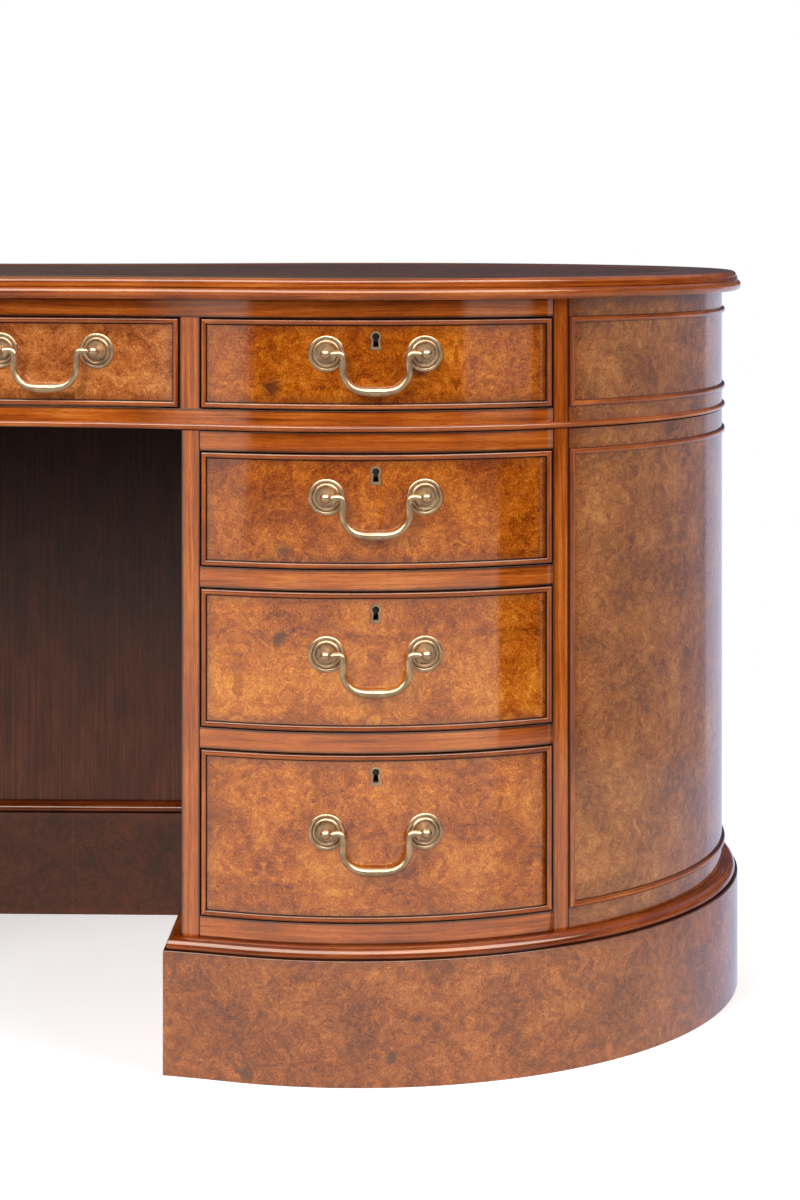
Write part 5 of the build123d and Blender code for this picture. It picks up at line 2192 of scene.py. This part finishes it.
@dataclass(frozen=True)
class Studio:
    """Pale floor, soft lamps and the camera of the photograph."""

    floor_size: float = 80.0
    camera_place: Place = (0.5865, -2.946, 0.8367)
    camera_yaw: float = 1.514
    lens: float = 79.5
    sensor_height: float = 36.0
    shift_y: float = -0.3217
    world_level: float = 0.5
    near_floor: float = 0.85
    far_floor: float = 1.9
    dark_room: float = 0.01
    steep_share: float = 0.45
    steep: Pair = (-0.42, -0.30)
    room_tint: tuple[float, ...] = (1.0, 0.93, 0.80, 1.0)
    side_tint: tuple[float, ...] = (0.66, 0.74, 0.95, 1.0)
    zones: tuple[BrightZone, ...] = (
        BrightZone((-181, 181), (-1.1, -0.195), 0.8, 2.0, 0.03),
        BrightZone((-181, 181), (-1.1, -0.25), 1.0, 2.0, 0.04),
        BrightZone((-181, 44), (-1.1, -0.12), 1.0, 2.5, 0.09),
        BrightZone((-181, -33), (-1.1, 0.0), 0.85, 6.0, 0.06),
        BrightZone((33, 55), (-0.075, 0.1), 0.6, 4.0, 0.03),
        BrightZone((71, 181), (-1.1, 0.0), 0.5, 12.0, 0.03),
        BrightZone((139, 181), (-1.1, 0.0), 1.0, 8.0, 0.03),
        BrightZone((-181, 181), (0.36, 1.1), 0.35, 2.0, 0.12),
        BrightZone((-75, 75), (0.5, 0.92), 6.5, 20.0, 0.12),
        BrightZone((120, 181), (0.0, 0.36), 0.1, 20.0, 0.03),
        BrightZone((-181, -120), (0.0, 0.36), 0.1, 20.0, 0.03),
    )
    lamps: tuple[Lamp, ...] = (
        Lamp("key_lamp", (-1.6, -3.2, 2.9), (0.3, 0.0, 0.45), 2.2, 108.0),
        Lamp("fill_lamp", (3.4, -2.2, 2.2), (0.5, 0.0, 0.4), 1.8, 40.0),
        Lamp("rear_lamp", (0.6, 3.4, 3.0), (0.3, 0.0, 0.6), 2.4, 34.0),
    )

    def build(self) -> None:
        """Set the whole studio up."""
        self.build_floor()
        self.build_world()
        for lamp in self.lamps:
            lamp.hang()
        self.build_camera()
        bpy.context.scene.view_settings.view_transform = "Standard"

    def build_floor(self) -> None:
        """Pale floor, white to the camera but for the desk's shadow."""
        half = self.floor_size / 2
        mesh = bpy.data.meshes.new("studio_floor")
        corners = [(-half, -half, 0), (half, -half, 0), (half, half, 0), (-half, half, 0)]
        mesh.from_pydata(corners, [], [(0, 1, 2, 3)])
        material, w, shader = start_material("studio_floor")
        from_desk = w.vector("SUBTRACT", w.own_place(), (PLAN.end_centre_x, 0.0, 0.0))
        far = w.node("ShaderNodeVectorMath", {0: from_desk}, operation="LENGTH").outputs["Value"]
        blend = w.span(far, self.near_floor, self.far_floor)
        w.put(
            shader,
            Base_Color=w.mix(blend, shade(244, 244, 246), (0.0, 0.0, 0.0, 1.0)),
            Emission_Color=w.mix(blend, (0.46, 0.46, 0.46, 1.0), WHITE),
            Emission_Strength=w.math("MAXIMUM", w.node("ShaderNodeLightPath").outputs["Is Camera Ray"], 0.3),
            Roughness=0.8,
            Specular_IOR_Level=0.0,
        )
        mesh.materials.append(material)
        floor = linked("studio_floor", mesh)
        floor.visible_glossy = False

    def build_world(self) -> None:
        """Even sky light, plain white to the camera and a studio of white and dark walls to reflections."""
        world = bpy.data.worlds.new("studio")
        world.use_nodes = True
        bpy.context.scene.world = world
        w = Wiring(world.node_tree)
        sky = world.node_tree.nodes["Background"]
        w.put(sky, Color=WHITE, Strength=self.world_level)
        white = w.node("ShaderNodeBackground", {"Color": WHITE})
        room = w.node("ShaderNodeBackground", {"Color": self.room_colour(w)})
        rays = w.node("ShaderNodeLightPath").outputs
        glossy = w.math("MAXIMUM", rays["Is Glossy Ray"], rays["Is Transmission Ray"])
        reflected = w.node("ShaderNodeMixShader", {0: glossy, 1: sky.outputs[0], 2: room.outputs[0]})
        fed = {0: rays["Is Camera Ray"], 1: reflected.outputs[0], 2: white.outputs[0]}
        seen = w.node("ShaderNodeMixShader", fed)
        w.put(world.node_tree.nodes["World Output"], Surface=seen.outputs[0])

    def room_colour(self, w: Wiring) -> Socket:
        """Brightness of the studio by direction.

        Args:
            w: Wiring of the world.

        Returns:
            Socket of the colour.
        """
        x, y, height = w.parts(w.node("ShaderNodeTexCoord").outputs["Generated"])
        heading = w.math("DEGREES", w.math("ARCTAN2", x, w.times(y, -1.0)))
        level = self.dark_room
        for zone in self.zones:
            level = w.math("MAXIMUM", level, zone.level_at(w, heading, height))
        level = w.times(level, w.span(height, *self.steep, self.steep_share, 1.0))
        sideways = w.times(w.span(height, *self.steep), w.span(heading, 80.0, 140.0))
        return w.scaled(w.mix(sideways, self.room_tint, self.side_tint), level)

    def build_camera(self) -> None:
        """Camera of the photograph, level and turned a little to the left."""
        lens = bpy.data.cameras.new("photograph")
        lens.lens = self.lens
        lens.sensor_fit = "VERTICAL"
        lens.sensor_height = self.sensor_height
        lens.shift_y = self.shift_y
        camera = linked("photograph", lens)
        camera.location = self.camera_place
        camera.rotation_euler = (math.radians(90), 0.0, math.radians(self.camera_yaw))
        bpy.context.scene.camera = camera


def mix_finishes(effects: Effects) -> dict[str, Material]:
    """Every finish of the desk.

    Args:
        effects: Shared shader groups.

    Returns:
        The materials by name.
    """
    burr = ((90, 30, 2), (140, 60, 4), (182, 88, 8), (212, 118, 24), (238, 158, 60))
    end = ((84, 36, 8), (122, 60, 14), (154, 82, 24), (180, 106, 42), (208, 138, 72))
    plinth = ((74, 28, 4), (116, 50, 8), (150, 72, 14), (180, 96, 30), (210, 132, 58))
    # Paler copy of the drawer burr for the centre drawer: painted reflection of the pale room.
    centre = ((100, 46, 24), (146, 74, 34), (186, 102, 46), (214, 132, 66), (238, 168, 98))
    # Darker copy of the plinth burr for the recessed kneehole plinth: painted shade.
    kneehole_shade_burr = ((44, 16, 6), (84, 34, 12), (116, 54, 24))
    straight = ((104, 40, 6), (160, 74, 14), (196, 98, 26), (230, 138, 60))
    bead = ((96, 36, 6), (156, 70, 14), (192, 96, 26), (228, 138, 58))
    base = ((72, 24, 4), (124, 50, 10), (158, 70, 18), (202, 112, 44))
    moulding = ((104, 38, 6), (156, 70, 14), (190, 96, 26), (224, 132, 52))
    dark = ((66, 22, 8), (100, 42, 18), (136, 68, 36))
    oak = ((132, 92, 60), (184, 140, 98), (212, 174, 132))
    even = (0.0, 0.5, 1.0)
    slim = Polish(coat_ior=1.7)
    satin = Polish(0.5, 0.35, 0.12)
    bare = Polish(0.6, 0.0, 0.3)
    made = {
        "burr": BurrWalnut("burr_walnut", burr),
        "burr_centre_painted_reflection": BurrWalnut("burr_walnut_centre", centre),
        "burr_end": BurrWalnut("burr_walnut_ends", end, 0.31),
        "burr_plinth": BurrWalnut("burr_walnut_plinth", plinth, 0.27),
        "kneehole_shade_burr": BurrWalnut("dark_burr_walnut", kneehole_shade_burr, 0.3, satin),
        # Rails and beads carry a rim line of dark joint and painted gap shadow.
        "walnut": StraightWalnut("straight_walnut", straight, line_width=0.0032, at=(0.0, 0.3, 0.6, 1.0)),
        "walnut_bead": StraightWalnut("walnut_beads", bead, band_scale=1.3, polish=slim, line_width=0.0013),
        "walnut_base": StraightWalnut("walnut_base_moulding", base, band_scale=1.3, polish=slim),
        "walnut_moulding": StraightWalnut("walnut_top_moulding", moulding, polish=slim),
        # Kneehole panel: painted shade darkens it towards its top.
        "dark_walnut": StraightWalnut(
            "dark_walnut_panel", dark, Grain.UPRIGHT, 1.6, (16, 6, 4), satin, dark_above=(0.2, 0.62), at=even
        ),
        "dark_side": StraightWalnut(
            "kneehole_side_walnut", dark, Grain.MAPPED, 0.7, (20, 8, 5), satin, at=even
        ),
        "oak": StraightWalnut("oak_lining", oak, Grain.DEEP, 0.8, (96, 66, 36), bare, at=even),
        "brass": AgedBrass("aged_brass"),
        # Lock case near black: painted shade inside the keyhole, not the brass's own colour.
        "case_painted_shade": AgedBrass("lock_case_brass", (34, 25, 17), (18, 13, 9), 0.65),
        "steel": LockSteel(),
        "leather": DeskLeather(),
    }
    return {name: finish.material(effects) for name, finish in made.items()}


def main() -> None:
    """Build the desk, dress it and set it in its studio."""
    logging.basicConfig(level=logging.INFO, format="%(name)s %(message)s")
    shop = Shop(Growth(), mix_finishes(Effects()))
    Studio().build()
    for part in (WritingTop(shop), Carcass(shop), Drawers(shop, SwanNeckHandle(shop))):
        log.info("building %s", type(part).__name__)
        part.build()
    bpy.context.view_layer.update()


if __name__ == "__main__":
    main()
